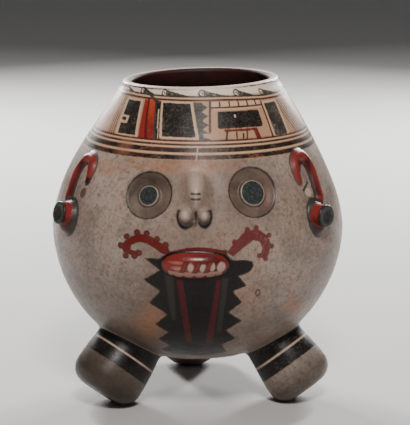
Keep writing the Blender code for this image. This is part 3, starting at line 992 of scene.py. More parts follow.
# %% Frieze tables
# Paint, left top, left bottom, right top, right bottom (degrees), top, bottom, rounding (mm)
FRONT_PANELS = (
    ("cream", -57.9, -51.2, -41.6, -34.8, 268.2, 239.2, 0.3),
    ("black", -55.6, -49.4, -43.1, -36.7, 266.5, 240.8, 0.3),
    ("cream", -54.8, -53.0, -46.9, -46.3, 254.8, 248.8, 0.6),
    ("black", -52.6, -51.8, -48.6, -48.2, 253.2, 250.8, 0.8),
    ("orange", -40.4, -34.2, -29.6, -23.4, 268.6, 239.0, 1.2),
    ("feather", -40.0, -33.8, -36.8, -28.7, 268.0, 239.4, 0.8),
    ("dark red", -38.2, -30.2, -36.9, -28.8, 270.0, 239.0, 0.1),
    ("grey", -31.8, -25.0, -29.4, -22.6, 268.2, 239.6, 1.2),
    ("black", -30.4, -23.6, -27.2, -20.6, 268.3, 239.4, 0.4),
    ("cream", -27.7, -24.7, -26.9, -23.9, 262.0, 247.4, 0.1),
    ("cream", -24.0, -22.9, -23.5, -22.3, 247.0, 240.0, 0.1),
    ("cream", -27.4, -21.6, -6.0, -0.6, 268.8, 240.0, 0.3),
    ("black", -25.8, -20.4, -7.2, -2.1, 267.2, 241.6, 0.3),
    ("grey", -5.5, -0.2, 0.4, 1.9, 268.0, 241.0, 0.2),
    ("grey", -0.6, -0.4, 0.8, 7.4, 243.0, 238.9, 0.2),
    ("dark red", 4.6, 4.4, 6.1, 5.9, 269.4, 245.0, 0.2),
    ("cream", 6.4, 6.4, 41.0, 40.6, 268.4, 264.8, 0.1),
    ("dark red", 6.0, 6.0, 41.6, 41.6, 264.7, 263.5, 0.1),
    ("cream", 6.8, 6.8, 41.4, 41.4, 263.2, 262.2, 0.1),
    ("black", 9.8, 9.6, 37.4, 37.2, 261.0, 248.0, 1.8),
    ("cream", 19.7, 19.9, 20.9, 20.9, 258.4, 256.2, 0.5),
    ("table", 12.7, 13.4, 32.6, 33.0, 247.5, 245.5, 0.3),
    ("brown", 14.3, 13.2, 15.3, 14.3, 246.0, 238.8, 0.1),
    ("brown", 19.6, 19.2, 20.5, 20.0, 246.0, 238.8, 0.1),
    ("brown", 23.2, 22.8, 24.2, 23.7, 244.0, 240.0, 0.1),
    ("brown", 25.7, 24.9, 26.6, 25.8, 246.0, 238.8, 0.1),
    ("table", 30.0, 31.4, 32.8, 34.2, 246.6, 237.8, 0.2),
    ("dark red", 41.2, 41.2, 42.3, 42.3, 266.8, 238.4, 0.1),
    ("cream", 42.6, 42.5, 57.0, 55.2, 266.6, 238.0, 0.3),
    ("grey", 43.8, 43.7, 55.2, 53.4, 264.9, 239.4, 0.8),
)
# The columns of the module that repeats round the back, in degrees from the module's start
BACK_PANELS = (
    ("cream", 2.0, 1.0, 18.0, 19.0, 268.2, 239.6, 0.4),
    ("black", 3.4, 2.4, 16.6, 17.6, 266.6, 241.2, 0.4),
    ("orange", 20.6, 21.4, 28.0, 28.8, 267.8, 239.4, 0.9),
    ("dark red", 23.9, 24.7, 24.8, 25.6, 268.6, 239.4, 0.1),
    ("dark red", 31.6, 32.0, 32.7, 33.1, 268.6, 239.4, 0.1),
)
BACK_START = 80.0
BACK_END = 280.0
BACK_COUNT = 5
BACK_FADE = 0.6
BACK_MODULE = (BACK_END - BACK_START) / BACK_COUNT
# Azimuths of the curls' middles; the last gap, round the back, is split into nine steps
CURLS = (-69.9, -45.9, -27.2, 0.0, 24.7, 45.9, 69.9)
BACK_STEPS = 9
# Paint and lowest and highest edge of each ruled line
RULED_LINES = (
    ("dark red", 269.0, 270.6),
    ("cream", 270.7, 271.7),
    ("black", 271.9, 273.1),
    ("dark red", 238.3, 239.7),
    ("cream", 237.1, 238.1),
    ("brown", 235.3, 236.8),
    ("cream", 234.2, 235.1),
    ("band", 230.3, 233.7),
    ("cream", 228.8, 229.9),
    ("band", 224.9, 228.2),
)
print(len(FRONT_PANELS), "front panels,", len(BACK_PANELS), "columns in each module at the back")

# %% Frieze group
FRIEZE_VALUES = ("Azimuth", "Height", "Around", "Rim height", "Wobble", "Wear", "Speckle", "Coarse")
frieze_inputs = [("Below", "c")] + [(name, "f") for name in FRIEZE_VALUES]
frieze_group, given, end = new_group("shoulder_frieze", frieze_inputs, [("Color", "c")])
tree = frieze_group
az, z, around = given["Azimuth"], given["Height"], given["Around"]
from_left = az.math("WRAP", 298.0, -62.0)
speckled = over(tree, BLACK, GREY_BLACK, given["Speckle"])
slips = {
    "cream": CREAM,
    "black": speckled,
    "grey": over(tree, speckled, WORN_GREY, given["Coarse"] * 0.6),
    "orange": over(tree, RED, ORANGE_RED, z.between(249.0, 269.0)),
    "table": (0.135, 0.020, 0.018),
    "feather": (0.260, 0.026, 0.020),
    "dark red": DARK_RED,
    "brown": BROWN,
    "band": over(tree, speckled, DARK_RED, given["Coarse"].between(0.52, 0.72)),
}
# How much of each slip is rubbed off where the surface is most worn
RUBBED = {
    "cream": 0.35, "black": 0.22, "grey": 0.50, "orange": 0.30, "table": 0.4, "feather": 0.3,
    "dark red": 0.5, "brown": 0.4, "band": 0.45,
}


def stroke(colour, slip, distance, softness=0.75, extent=None):
    """Lays one painted stroke over the colour, thinner where the surface is worn."""
    mask = use_group(tree, edge_group, Distance=distance, Wobble=given["Wobble"], Softness=softness)["Mask"]
    mask = mask * (1.0 - given["Wear"] * RUBBED[slip])
    if extent is not None:
        mask = mask * extent
    return over(tree, colour, slips[slip], mask)


def panel(azimuth, left_top, left_bottom, right_top, right_bottom, top, bottom, rounding):
    """Distance to a panel with four corners in degrees and millimetres."""
    return use_group(
        tree, panel_group, Azimuth=azimuth, Height=z, Around=around, Top=top, Bottom=bottom,
        Left_top=left_top, Left_bottom=left_bottom, Right_top=right_top, Right_bottom=right_bottom,
        Rounding=rounding,
    )["Distance"]


def hatching(low, high, left, right, lean, spacing):
    """Fine parallel lines between two azimuths."""
    along = from_left + (z - 253.0) * lean
    wave = (along / spacing).math("FRACT") - 0.5
    line = wave.size() * (spacing * 1.45) - 0.50
    bounds = z.between(low, low + 0.8) * (1.0 - z.between(high, high + 0.8))
    sides = along.between(left, left + 0.5) * (1.0 - along.between(right, right + 0.5))
    return line, bounds * sides


zone = z.between(223.8, 225.4)
colour = over(tree, given["Below"], GROUND, zone * (0.62 + given["Coarse"] * 0.4))
# The scroll band's cream ground, painted paler than the slip as a painted highlight under the rim
colour = over(tree, colour, CREAM_WITH_PAINTED_SHEEN, z.between(271.8, 274.0) * 0.92)
colour = over(tree, colour, (0.36, 0.15, 0.085), (1.0 - z.between(239.0, 241.0)) * zone * 0.60)
line, extent = hatching(239.0, 268.4, -62.0, -54.6, 0.24, 1.9)
colour = stroke(colour, "brown", line, 0.8, extent)
line, extent = hatching(238.6, 265.5, 56.0, 72.0, 0.32, 2.6)
colour = stroke(colour, "grey", line - 0.3, 0.8, extent)
for slip, *corners in FRONT_PANELS:
    colour = stroke(colour, slip, panel(from_left, *corners))

# %% Teeth, ladder, back panels and ruled lines
TOOTH_PITCH = 6.6
LADDER_PITCH = 6.35
pitch = ((z - 264.3) / TOOTH_PITCH).math("ADD", 0.5).math("FRACT") - 0.5
tooth_edge = 4.0 - pitch.size() * 8.0 + (264.0 - z) * 0.055
teeth = (from_left - tooth_edge).at_least(-1.0 - from_left) * around
teeth = teeth.at_least(z - 267.0).at_least(244.5 - z)
colour = stroke(colour, "grey", teeth)
bars = ((from_left - 5.3) / LADDER_PITCH).math("FRACT") - 0.5
bars = (0.5 - bars.size()) * (LADDER_PITCH * 1.3) - 0.70
bars = bars.at_least(z - 268.6).at_least(264.6 - z).at_least(5.5 - from_left).at_least(from_left - 41.5)
colour = stroke(colour, "dark red", bars)
in_module = ((from_left - BACK_START) / BACK_MODULE).math("FRACT") * BACK_MODULE
behind = from_left.between(BACK_START, BACK_START + BACK_FADE)
behind = behind * (1.0 - from_left.between(BACK_END - BACK_FADE, BACK_END))
for slip, *corners in BACK_PANELS:
    colour = stroke(colour, slip, panel(in_module, *corners), 0.75, behind)
# The ruled lines dip a little on the right
dip = from_left.between(15.0, 45.0) * (1.0 - from_left.between(60.0, 110.0)) * -1.6
dip = dip + (from_left / 17.0).math("SINE") * 0.25
ruled = z - dip * z.between(232.0, 272.0)
for slip, low, high in RULED_LINES:
    middle, half = (low + high) / 2, (high - low) / 2
    colour = stroke(colour, slip, (ruled - middle).size() - half)
# A worn place and a scratch through the lowest bands
worn = (from_left + 40.0).size().between(2.0, 6.5)
worn = (1.0 - worn) * z.between(224.0, 227.0) * (1.0 - z.between(236.0, 240.0))
colour = over(tree, colour, (0.42, 0.17, 0.10), worn * 0.35)
scratch = (from_left + 1.0 + (z - 229.0) * -0.04).size() * 1.7 - 0.35
colour = stroke(colour, "cream", scratch.at_least(z - 234.0).at_least(224.6 - z))

# %% Running scrolls
# Length of one scroll, height of its middle and height of the red line over it, in mm
SCROLL_LENGTH = 29.0
SCROLL_MIDDLE = 275.2
RIM_LINE = 278.2
SCROLL_LEAD = 0.28
phase = from_left.between(CURLS[0], CURLS[1])
for start, stop in zip(CURLS[1:], CURLS[2:]):
    phase = phase + from_left.between(start, stop)
phase = phase + from_left.between(CURLS[-1], CURLS[0] + 360.0) * BACK_STEPS
local = (phase.math("ADD", SCROLL_LEAD).math("FRACT") - SCROLL_LEAD) * SCROLL_LENGTH
level = ruled - SCROLL_MIDDLE


def arc(distance_x, distance_y, radius, half_width):
    """Distance to a circle's line."""
    return ((distance_x * distance_x + distance_y * distance_y).math("SQRT") - radius).size() - half_width


outer_turn = arc(local, level, 2.25, 0.66).at_least((local - 0.6).at_most(-0.7 - level))
inner_turn = arc(local + 0.25, level + 0.85, 1.00, 0.45).at_least(-0.4 - level - local * 0.8)
blob = ((local + 2.0) * (local + 2.0) + (level + 0.9) * (level + 0.9)).math("SQRT") - 0.85
neck = ((local - 2.6).size() - 1.0).at_least(level.size() - 2.1)
fall = (local - 2.4) * 0.243
wedge = (level - 1.9 + fall).at_least(1.9 - local).at_least(-3.0 - level) * 0.95
colour = stroke(colour, "brown", outer_turn.at_most(blob).at_most(inner_turn), 0.6)
colour = stroke(colour, "grey", wedge.at_most(neck), 0.6)
# The long edge of the first scroll runs down over the top of the feather
colour = stroke(colour, "grey", panel(from_left, -45.6, -31.6, -42.9, -27.6, 277.0, 267.0, 0.3))
rim_fade = 1.0 - (1.0 - (from_left - 3.0).size().between(10.0, 36.0)) * 0.85
colour = stroke(colour, "dark red", (given["Rim height"] - RIM_LINE).size() - 0.50, 0.8, rim_fade)
feed(tree, end.inputs["Color"], colour)
print("frieze", len(tree.nodes), "nodes")

# %% [markdown]
# ## The face, the ears and the feet
# Most of these masks come from the distances kept on the mesh. A shape with a dark outline is laid
# down in the outline's colour first, a little larger, and then filled in. Strokes that are worked out
# from X and Z alone, such as those of the nose, also show on the back of the pot.

# %% Face group
FACE_VALUES = ("X", "Z", "Wobble", "Wear", "Speckle", "Coarse")
face_inputs = [("Below", "c")] + [(name, "f") for name in FACE_VALUES]
face_group, given, end = new_group("face_paint", face_inputs, [("Color", "c"), ("Gloss", "f")])
tree = face_group
worn_by = given["Wear"]
face_x, face_z = given["X"], given["Z"]
speckled = over(tree, BLACK, GREY_BLACK, given["Speckle"] * 0.18)


def touch(colour, paint, distance, cover=1.0, softness=0.8, wear=0.45):
    """One painted shape on the face, ears or feet."""
    mask = use_group(tree, edge_group, Distance=distance, Wobble=given["Wobble"], Softness=softness)["Mask"]
    return over(tree, colour, paint, mask * (1.0 - worn_by * wear) * cover)


def spot(x, z, middle_x, middle_z, half_x, half_z):
    """Distance to an oval."""
    apart_x, apart_z = (x - middle_x) / half_x, (z - middle_z) / half_z
    return ((apart_x * apart_x + apart_z * apart_z).math("SQRT") - 1.0) * min(half_x, half_z)


colour = given["Below"]
colour = touch(colour, PALE_RED, attribute(tree, "pale_red"), 0.95, 1.0, 0.4)
strong, knobs = attribute(tree, "strong_red"), attribute(tree, "left_knobs")
colour = touch(colour, DARK_RED, strong.at_most(knobs) - 0.35)
colour = touch(colour, (0.125, 0.012, 0.010), strong + 0.35)
colour = touch(colour, (0.130, 0.024, 0.020), knobs + 0.8)
arch_end = ((face_x - 23.5).size() - 1.1).at_least((face_z - 151.5).size() - 3.6)
colour = touch(colour, BROWN, arch_end, 0.8)
beard = attribute(tree, "beard")
colour = touch(colour, BROWN, beard - 0.35)
colour = touch(colour, speckled, beard + 0.45, 1.0, 0.8, 0.10)
colour = touch(colour, (0.040, 0.032, 0.028), attribute(tree, "beard_worn"), 0.70, 2.0, 0.8)
colour = touch(colour, (0.078, 0.008, 0.010), attribute(tree, "beard_red"), 0.95, 1.2, 0.3)
oval = spot(face_x, face_z, 49.9, 115.5, 1.7, 2.7).size() - 0.55
colour = touch(colour, BROWN, oval, 0.85)

# %% Lip
lip_edge = attribute(tree, "lip_edge")
lip_x, lip_z = attribute(tree, "lip_right"), attribute(tree, "lip_up")
colour = touch(colour, BLACK, lip_edge - 1.1, 1.0, 1.0, 0.1)
colour = touch(colour, (0.200, 0.026, 0.022), lip_edge + 0.4, 1.0, 0.8, 0.15)
dark_end = (lip_x + 20.0).between(14.0, 34.0) * 0.75
colour = touch(colour, (0.055, 0.010, 0.010), lip_edge + 1.4, dark_end, 3.0, 0.2)
scallop = ((lip_x + 0.8) / 8.6).math("FRACT") - 0.5
scallop = (scallop.size() * 2.0).math("POWER", 2.2) * 2.6
lower_cream = (lip_z + 3.9).at_least(-9.6 - lip_z + scallop).at_least(lip_x.size() - 21.5)
colour = touch(colour, (0.40, 0.24, 0.18), lower_cream.at_least(lip_edge + 0.5), 0.85, 1.4, 0.4)
TEETH = ((-3.4, -0.2, 2.4, 3.4), (6.2, -0.6, 2.6, 3.2), (13.4, 0.2, 2.2, 3.4), (20.8, -0.8, 3.6, 4.2))
for place, middle, half_x, half_z in TEETH:
    tooth = spot(lip_x, lip_z, place, middle, half_x, half_z).at_least(lip_edge + 0.5)
    colour = touch(colour, (0.44, 0.31, 0.25), tooth, 0.85, 1.3, 0.35)
# Painted highlights on the upper left of the lip
for place, middle, half_x, half_z in ((-13.5, -1.2, 5.0, 1.5), (-15.0, 3.4, 4.4, 0.9)):
    painted_lip_highlight = spot(lip_x, lip_z, place, middle, half_x, half_z)
    colour = touch(colour, (0.42, 0.24, 0.19), painted_lip_highlight, 0.6, 1.6, 0.6)
for place in (-8.6, 1.4, 10.2):
    slant = (lip_x - place - lip_z * 0.45).size() - 1.7
    slant = slant.at_least(lip_z - 4.4).at_least(-4.2 - lip_z)
    colour = touch(colour, BROWN, slant - 0.5, 0.85, 0.9, 0.2)
    colour = touch(colour, (0.190, 0.026, 0.020), slant + 0.5, 0.9, 0.9, 0.2)
gloss = use_group(tree, edge_group, Distance=lip_edge, Wobble=0.0, Softness=2.0)["Mask"]

# %% Eyes and nose
PAINTED_SOCKET_SHADE = (0.022, 0.016, 0.012)
socket, pupil = attribute(tree, "socket_gap"), attribute(tree, "pupil_gap")
sunk = given["Coarse"].between(0.30, 0.60)
socket_grey = over(tree, (0.072, 0.052, 0.040), (0.135, 0.092, 0.070), sunk)
colour = touch(colour, socket_grey, socket + 0.3, 0.88, 1.0, 0.2)
reddish = spot(face_x, face_z, 60.0, 196.0, 9.0, 15.0).at_least(socket + 1.0)
colour = touch(colour, (0.150, 0.060, 0.048), reddish, 0.55, 8.0, 0.3)
# Painted shade in the upper left of the left socket and along its top, where the dish is in shadow
shaded = spot(face_x, face_z, -54.0, 205.0, 9.0, 14.0).at_least(socket + 0.6)
colour = touch(colour, PAINTED_SOCKET_SHADE, shaded, 0.75, 8.0, 0.2)
painted_shade_above_left = spot(face_x, face_z, -34.0, 212.0, 16.0, 8.0).at_least(socket + 0.6)
colour = touch(colour, PAINTED_SOCKET_SHADE, painted_shade_above_left, 0.65, 7.0, 0.2)
colour = touch(colour, BLACK, (socket + 0.1).size() - 0.60, 0.85, 0.9, 0.2)
colour = touch(colour, BLACK, (pupil - 0.3).size() - 0.35, 0.45, 0.9, 0.2)
thicker = face_x.between(48.0, 56.0) * 0.45
colour = touch(colour, (0.34, 0.275, 0.225), (pupil + 0.55).size() - 0.36 - thicker, 0.9, 0.8, 0.3)
pupil_blue = over(tree, (0.014, 0.020, 0.021), (0.060, 0.068, 0.064), given["Speckle"])
colour = touch(colour, pupil_blue, pupil + 1.2, 1.0, 0.8, 0.15)
# Painted highlights: the crest of the nose and the tops of its two bulbs are painted paler
PAINTED_HIGHLIGHTS = ((-1.2, 207.0, 5.0, 9.0), (-10.4, 184.6, 3.6, 4.6), (5.4, 184.2, 3.0, 4.2))
for place, middle, half_x, half_z in PAINTED_HIGHLIGHTS:
    nose_highlight = spot(face_x, face_z, place, middle, half_x, half_z)
    colour = touch(colour, (0.60, 0.49, 0.40), nose_highlight, 0.60, 6.0, 0.2)
for nostril, side in ((LEFT_NOSTRIL, -1.0), (RIGHT_NOSTRIL, 1.0)):
    middle_x, middle_z = nostril[0] * 1000 - 0.9, (BELLY_HEIGHT + nostril[1]) * 1000
    half_x, half_z = nostril[2] * 1000, nostril[3] * 1000
    rim = spot(face_x, face_z, middle_x, middle_z, half_x * 1.02, half_z * 1.02)
    # Painted shade over the lower half of each bulb
    painted_shade_under_bulb = (rim + 0.4).at_least(face_z - middle_z + 1.5)
    colour = touch(colour, (0.030, 0.020, 0.015), painted_shade_under_bulb, 0.75, 6.0, 0.1)
    crescent = (rim - 0.1).size() - 0.95
    shaded_side = (middle_x * side - face_x * side - 0.5).at_least(face_z - middle_z - 5.5)
    colour = touch(colour, BLACK, crescent.at_least(shaded_side), 0.90, 1.2, 0.1)
    under = crescent.at_least(face_z - middle_z + half_z * 0.55)
    colour = touch(colour, BLACK, under, 0.85, 1.2, 0.1)
# A painted shadow in the gap between the two bulbs
painted_shadow_between_bulbs = ((face_x + 1.0).size() - 0.9).at_least((face_z - 180.5).size() - 6.5)
colour = touch(colour, BLACK, painted_shadow_between_bulbs, 0.85, 1.4, 0.1)
for slit_z in (200.5, 196.5):
    slit = ((face_z - slit_z).size() - 0.80).at_least((face_x + 1.2).size() - 4.0)
    colour = touch(colour, BLACK, slit, 0.85, 0.9, 0.1)

# %% Feet
side, foot_height = attribute(tree, "foot_side"), attribute(tree, "foot_rise")
on_foot = side * -1.0
upper_band = on_foot.at_least(FOOT_BANDS[2] - foot_height)
lower_band = on_foot.at_least(FOOT_BANDS[0] - foot_height).at_least(foot_height - FOOT_BANDS[1])
thin_line = on_foot.at_least((foot_height - (FOOT_BANDS[1] + FOOT_BANDS[2]) / 2).size() - 0.65)
# Painted shade darkens the soles and the lowest part of each foot
painted_shade_soles = (0.0 - side).at_least(foot_height - 18.0)
colour = touch(colour, (0.034, 0.026, 0.020), painted_shade_soles, 0.55, 14.0, 0.2)
# A painted highlight along the joint where each foot meets the belly
colour = touch(colour, (0.46, 0.34, 0.26), (side + 0.9).size() - 0.50, 0.40, 0.9, 0.3)
colour = touch(colour, speckled, upper_band, 1.0, 0.8, 0.30)
colour = touch(colour, speckled, lower_band, 1.0, 0.8, 0.30)
colour = touch(colour, (0.50, 0.35, 0.27), thin_line, 0.85, 0.8, 0.4)
feed(tree, end.inputs["Color"], colour)
feed(tree, end.inputs["Gloss"], gloss)
print("face", len(tree.nodes), "nodes")

# %% Ear group
EAR_RED = (0.215, 0.026, 0.022)
ear_inputs = [("Below", "c"), ("X", "f"), ("Wobble", "f"), ("Wear", "f")]
ear_group, given, end = new_group("ear_paint", ear_inputs, [("Color", "c")])
tree = ear_group
worn_by = given["Wear"]
colour = given["Below"]
hook, lobe = attribute(tree, "hook_gap"), attribute(tree, "lobe_gap")
towards, above = attribute(tree, "ear_towards"), attribute(tree, "ear_above")
spool, beyond = attribute(tree, "spool_radial"), attribute(tree, "spool_end")
on_left, on_right = given["X"].between(1.0, -1.0), given["X"].between(-1.0, 1.0)
# The curl at the root of the left hook, and the dark stroke and cream patch beside the right one
curl = spot(towards, above, 9.6, 20.2, 3.6, 3.6)
colour = touch(colour, (0.060, 0.050, 0.044), curl - 0.6, on_left * 0.9)
colour = touch(colour, (0.165, 0.062, 0.052), curl + 0.5, on_left)
colour = touch(colour, (0.56, 0.42, 0.32), spot(towards, above, 3.2, 19.4, 4.2, 3.6), on_right * 0.85)
along = (towards - 4.2) * 0.84 + (above - 24.4) * -0.54
across = (towards - 4.2) * 0.54 + (above - 24.4) * 0.84
colour = touch(colour, BLACK, across.size().at_least(along.size() - 5.0) - 1.0, on_right * 0.9)
colour = touch(colour, (0.030, 0.026, 0.023), hook - 0.7, 0.85, 0.8, 0.1)
colour = touch(colour, EAR_RED, hook + 0.6, 1.0, 0.9, 0.35)
# Painted shade on the inner side of each hook's arms
painted_shade_inner_side = hook.at_least(towards.size() - 8.2).at_least(above - 44.0).at_least(14.0 - above)
colour = touch(colour, (0.026, 0.008, 0.008), painted_shade_inner_side, 0.85, 2.4, 0.1)
tip = hook.at_least(above - 33.0).at_least(4.0 - towards)
colour = touch(colour, BLACK, tip, on_left * 0.9, 1.6, 0.1)
colour = touch(colour, (0.034, 0.034, 0.030), lobe - 0.9, 0.95, 0.9, 0.2)
red_lobe = (lobe + 2.4).at_least(towards - 4.4)
colour = touch(colour, EAR_RED, red_lobe, 1.0, 1.4, 0.2)
# Painted shade on the lower part of each lobe
painted_shade_low_lobe = (lobe + 2.0).at_least(above + 4.0)
colour = touch(colour, (0.040, 0.006, 0.006), painted_shade_low_lobe, 0.85, 6.0, 0.1)
on_spool = (spool - 0.9).at_least(-10.6 - beyond)
colour = touch(colour, EAR_RED, on_spool, 1.0, 0.8, 0.1)
# Painted shade on the lower half of each spool
colour = touch(colour, (0.030, 0.005, 0.005), on_spool.at_least(above + 3.0), 0.80, 5.0, 0.1)
plug_end = (-1.2 - beyond).at_least(spool + 0.2)
disc = over(tree, (0.040, 0.048, 0.042), (0.115, 0.120, 0.102), worn_by)
colour = touch(colour, disc, plug_end, 1.0, 0.8, 0.0)
# Painted shade darkens the end of the left plug, all but its rim
colour = touch(colour, BLACK, plug_end + 2.0, on_left * 0.7, 4.0, 0.4)
colour = touch(colour, BLACK, (plug_end.size() - 0.55).at_least(spool - 1.5), 0.8, 0.8, 0.1)
feed(tree, end.inputs["Color"], colour)
print("ears", len(tree.nodes), "nodes")

# %% [markdown]
# ## Fired clay
# The clay under the paint is tan, clouded darker and orange by the fire, full of tiny dark pits, and
# burnished with a pebble until it shines. Soot and soil have stayed in the pits. Most of it is noise at
# different scales, read from the object's own coordinates so that it stays with the vase. Broad tints
# lie over the noise: darker and redder between the cheeks, and painted shade low down, most of all at
# the left.

# %% Body group
body_inputs = [("Object", "v"), ("X", "f"), ("Y", "f"), ("Z", "f")]
body_outputs = [("Color", "c"), ("Pits", "f"), ("Height", "f")]
body_group, given, end = new_group("fired_clay", body_inputs, body_outputs)
tree = body_group
place = given["Object"]
clouds = noise(tree, place, 9.0, 4.0, 0.6)
patches = noise(tree, place, 38.0, 5.0, 0.62)
freckles = noise(tree, place, 125.0, 3.0, 0.65)
grain = noise(tree, place, 330.0, 4.0, 0.75)
colour = over(tree, (0.215, 0.158, 0.126), (0.440, 0.345, 0.285), clouds.between(0.34, 0.64))
colour = over(tree, colour, (0.380, 0.235, 0.180), patches.between(0.50, 0.68) * 0.50)
colour = over(tree, colour, (0.185, 0.155, 0.130), (1.0 - patches.between(0.34, 0.46)) * 0.45)
colour = over(tree, colour, (0.075, 0.048, 0.034), (1.0 - freckles.between(0.34, 0.46)) * 0.34)
colour = over(tree, colour, (0.110, 0.078, 0.060), (1.0 - grain.between(0.34, 0.52)) * 0.60)
colour = over(tree, colour, (0.520, 0.400, 0.310), grain.between(0.57, 0.72) * 0.45)
# Broad tints: darker and redder between the cheeks at the front, and painted shade low down
between_cheeks = (1.0 - given["X"].size().between(12.0, 62.0)) * given["Y"].between(20.0, -20.0)
colour = over(tree, colour, (0.150, 0.088, 0.066), between_cheeks * 0.52)
# Painted shade: the clay is darker towards the bottom, and darker still on the left
painted_shade_low_down = 1.0 - given["Z"].between(45.0, 150.0)
painted_shade_left_side = given["X"].between(0.0, -70.0)
colour = over(tree, colour, (0.040, 0.029, 0.021), painted_shade_low_down * (0.46 + painted_shade_left_side * 0.40))
# Clouds from the fire, with an uneven edge, on the front only
for fire_x, fire_z, size_x, size_z, amount in FIRE_CLOUDS:
    apart_x, apart_z = (given["X"] - fire_x) / size_x, (given["Z"] - fire_z) / size_z
    near = 1.0 - (apart_x * apart_x + apart_z * apart_z).math("SQRT") + (patches - 0.5) * 1.6
    near = near.between(0.0, 0.9) * given["Y"].between(20.0, -20.0)
    colour = over(tree, colour, FIRE_ORANGE, near * amount)
cells = tree.nodes.new("ShaderNodeTexVoronoi")
cells.inputs["Scale"].default_value = 470.0
feed(tree, cells.inputs["Vector"], place)
pits = 1.0 - Value(tree, cells.outputs["Distance"]).between(0.10, 0.24)
pits = pits * patches.between(0.46, 0.60)
colour = over(tree, colour, (0.026, 0.017, 0.013), pits * 0.60)
feed(tree, end.inputs["Color"], colour)
feed(tree, end.inputs["Pits"], pits)
feed(tree, end.inputs["Height"], grain * 0.50 + freckles * 0.5 + patches * 0.9 - pits * 0.2)

# %% Outside materials


def painted_material(name, add_paint):
    """Fired clay with the paint that add_paint lays over it."""
    material = bpy.data.materials.new(name)
    material.use_nodes = True
    tree = material.node_tree
    shader = tree.nodes["Principled BSDF"]
    place = Value(tree, tree.nodes.new("ShaderNodeTexCoord").outputs["Object"])
    split = tree.nodes.new("ShaderNodeSeparateXYZ")
    feed(tree, split.inputs[0], place)
    x, y, z = [Value(tree, socket) * 1000.0 for socket in split.outputs]
    wobble = (noise(tree, place, 260.0, 3.0, 0.6) - 0.5) * 1.1
    coarse = noise(tree, place, 75.0, 3.0, 0.6)
    wear = noise(tree, place, 430.0, 4.0, 0.75).between(0.50, 0.66) * coarse.between(0.38, 0.62)
    speckle = noise(tree, place, 520.0, 3.0, 0.8).between(0.42, 0.68)
    body = use_group(tree, body_group, Object=place, X=x, Y=y, Z=z)
    surface = {"Wobble": wobble, "Wear": wear, "Speckle": speckle, "Coarse": coarse}
    colour, gloss = add_paint(tree, body["Color"], place, x, z, surface)
    ears = use_group(tree, ear_group, Below=colour, X=x, Wobble=wobble, Wear=wear)
    colour = over(tree, ears["Color"], (0.070, 0.052, 0.042), body["Pits"] * 0.35)
    shine = 0.37 + (coarse - 0.5) * 0.40 + wear * 0.12 - gloss * 0.14
    feed(tree, shader.inputs["Base Color"], colour)
    feed(tree, shader.inputs["Roughness"], shine)
    shader.inputs["Specular IOR Level"].default_value = 0.26
    shader.inputs["Coat Weight"].default_value = 0.0
    shader.inputs["Coat Roughness"].default_value = 0.25
    bump = tree.nodes.new("ShaderNodeBump")
    bump.inputs["Distance"].default_value = 0.0008
    bump.inputs["Strength"].default_value = 0.32
    feed(tree, bump.inputs["Height"], body["Height"])
    tree.links.new(bump.outputs["Normal"], shader.inputs["Normal"])
    return material


def shoulder_paint(tree, below, place, x, z, surface):
    places = use_group(tree, places_group, Object=place)
    places = {name.replace(" ", "_"): value for name, value in places.items()}
    frieze = use_group(tree, frieze_group, Below=below, **places, **surface)
    return over(tree, below, frieze["Color"], z.between(223.0, 224.4)), 0.0


def belly_paint(tree, below, place, x, z, surface):
    face = use_group(tree, face_group, Below=below, X=x, Z=z, **surface)
    return face["Color"], face["Gloss"]


shoulder = painted_material("painted_shoulder", shoulder_paint)
belly = painted_material("painted_clay", belly_paint)

# %% Inside material
inside = bpy.data.materials.new("inside_clay")
inside.use_nodes = True
tree = inside.node_tree
shader = tree.nodes["Principled BSDF"]
place = Value(tree, tree.nodes.new("ShaderNodeTexCoord").outputs["Object"])
split = tree.nodes.new("ShaderNodeSeparateXYZ")
feed(tree, split.inputs[0], place)
z = Value(tree, split.outputs[2]) * 1000.0
rough_patches = noise(tree, place, 55.0, 4.0, 0.6)
scraped = noise(tree, place, 16.0, 4.0, 0.6)
colour = over(tree, (0.0055, 0.0035, 0.0030), (0.017, 0.008, 0.006), scraped.between(0.35, 0.65))
rim_red = z.between(258.0, 273.0) * rough_patches.between(0.25, 0.55)
colour = over(tree, colour, (0.045, 0.007, 0.006), rim_red)
feed(tree, shader.inputs["Base Color"], colour)
feed(tree, shader.inputs["Roughness"], 0.55 + rough_patches * 0.2)
bump = tree.nodes.new("ShaderNodeBump")
bump.inputs["Distance"].default_value = 0.001
bump.inputs["Strength"].default_value = 0.4
feed(tree, bump.inputs["Height"], rough_patches + scraped)
tree.links.new(bump.outputs["Normal"], shader.inputs["Normal"])

# %% Which face has which material
FRIEZE_FOOT = 0.2228
RIM_PAINT = 0.0026  # the dark inside starts this far behind the outer surface at the rim
RIM_PAINT_HEIGHT = 0.270  # the rim, for this, is all that is higher
INSIDE_DEPTH = 0.0052  # and this far behind it lower down, deeper than an eye socket
vase.data.materials.clear()
for material in (belly, inside, shoulder):
    vase.data.materials.append(material)
centres = np.empty(len(vase.data.polygons) * 3)
vase.data.polygons.foreach_get("center", centres)
face_proud, _ = above_outline(unsettled(centres.reshape(-1, 3)))
inside_from = np.where(centres[2::3] > RIM_PAINT_HEIGHT, -RIM_PAINT, -INSIDE_DEPTH)
outside_slot = np.where(centres[2::3] > FRIEZE_FOOT, 2, 0)
slots = np.where(face_proud < inside_from, 1, outside_slot).astype(np.int32)
vase.data.polygons.foreach_set("material_index", slots)
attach(vase, "root")
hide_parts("vase")
print("faces outside, inside and on the shoulder", np.bincount(slots))

# %% [markdown]
# ## Floor, light and camera
# The vase stands on a plain pale floor that runs up into a backdrop. Two tall narrow lights behind it,
# one to each side, give the bright edges of its shoulders, and a small one in front lights the face.

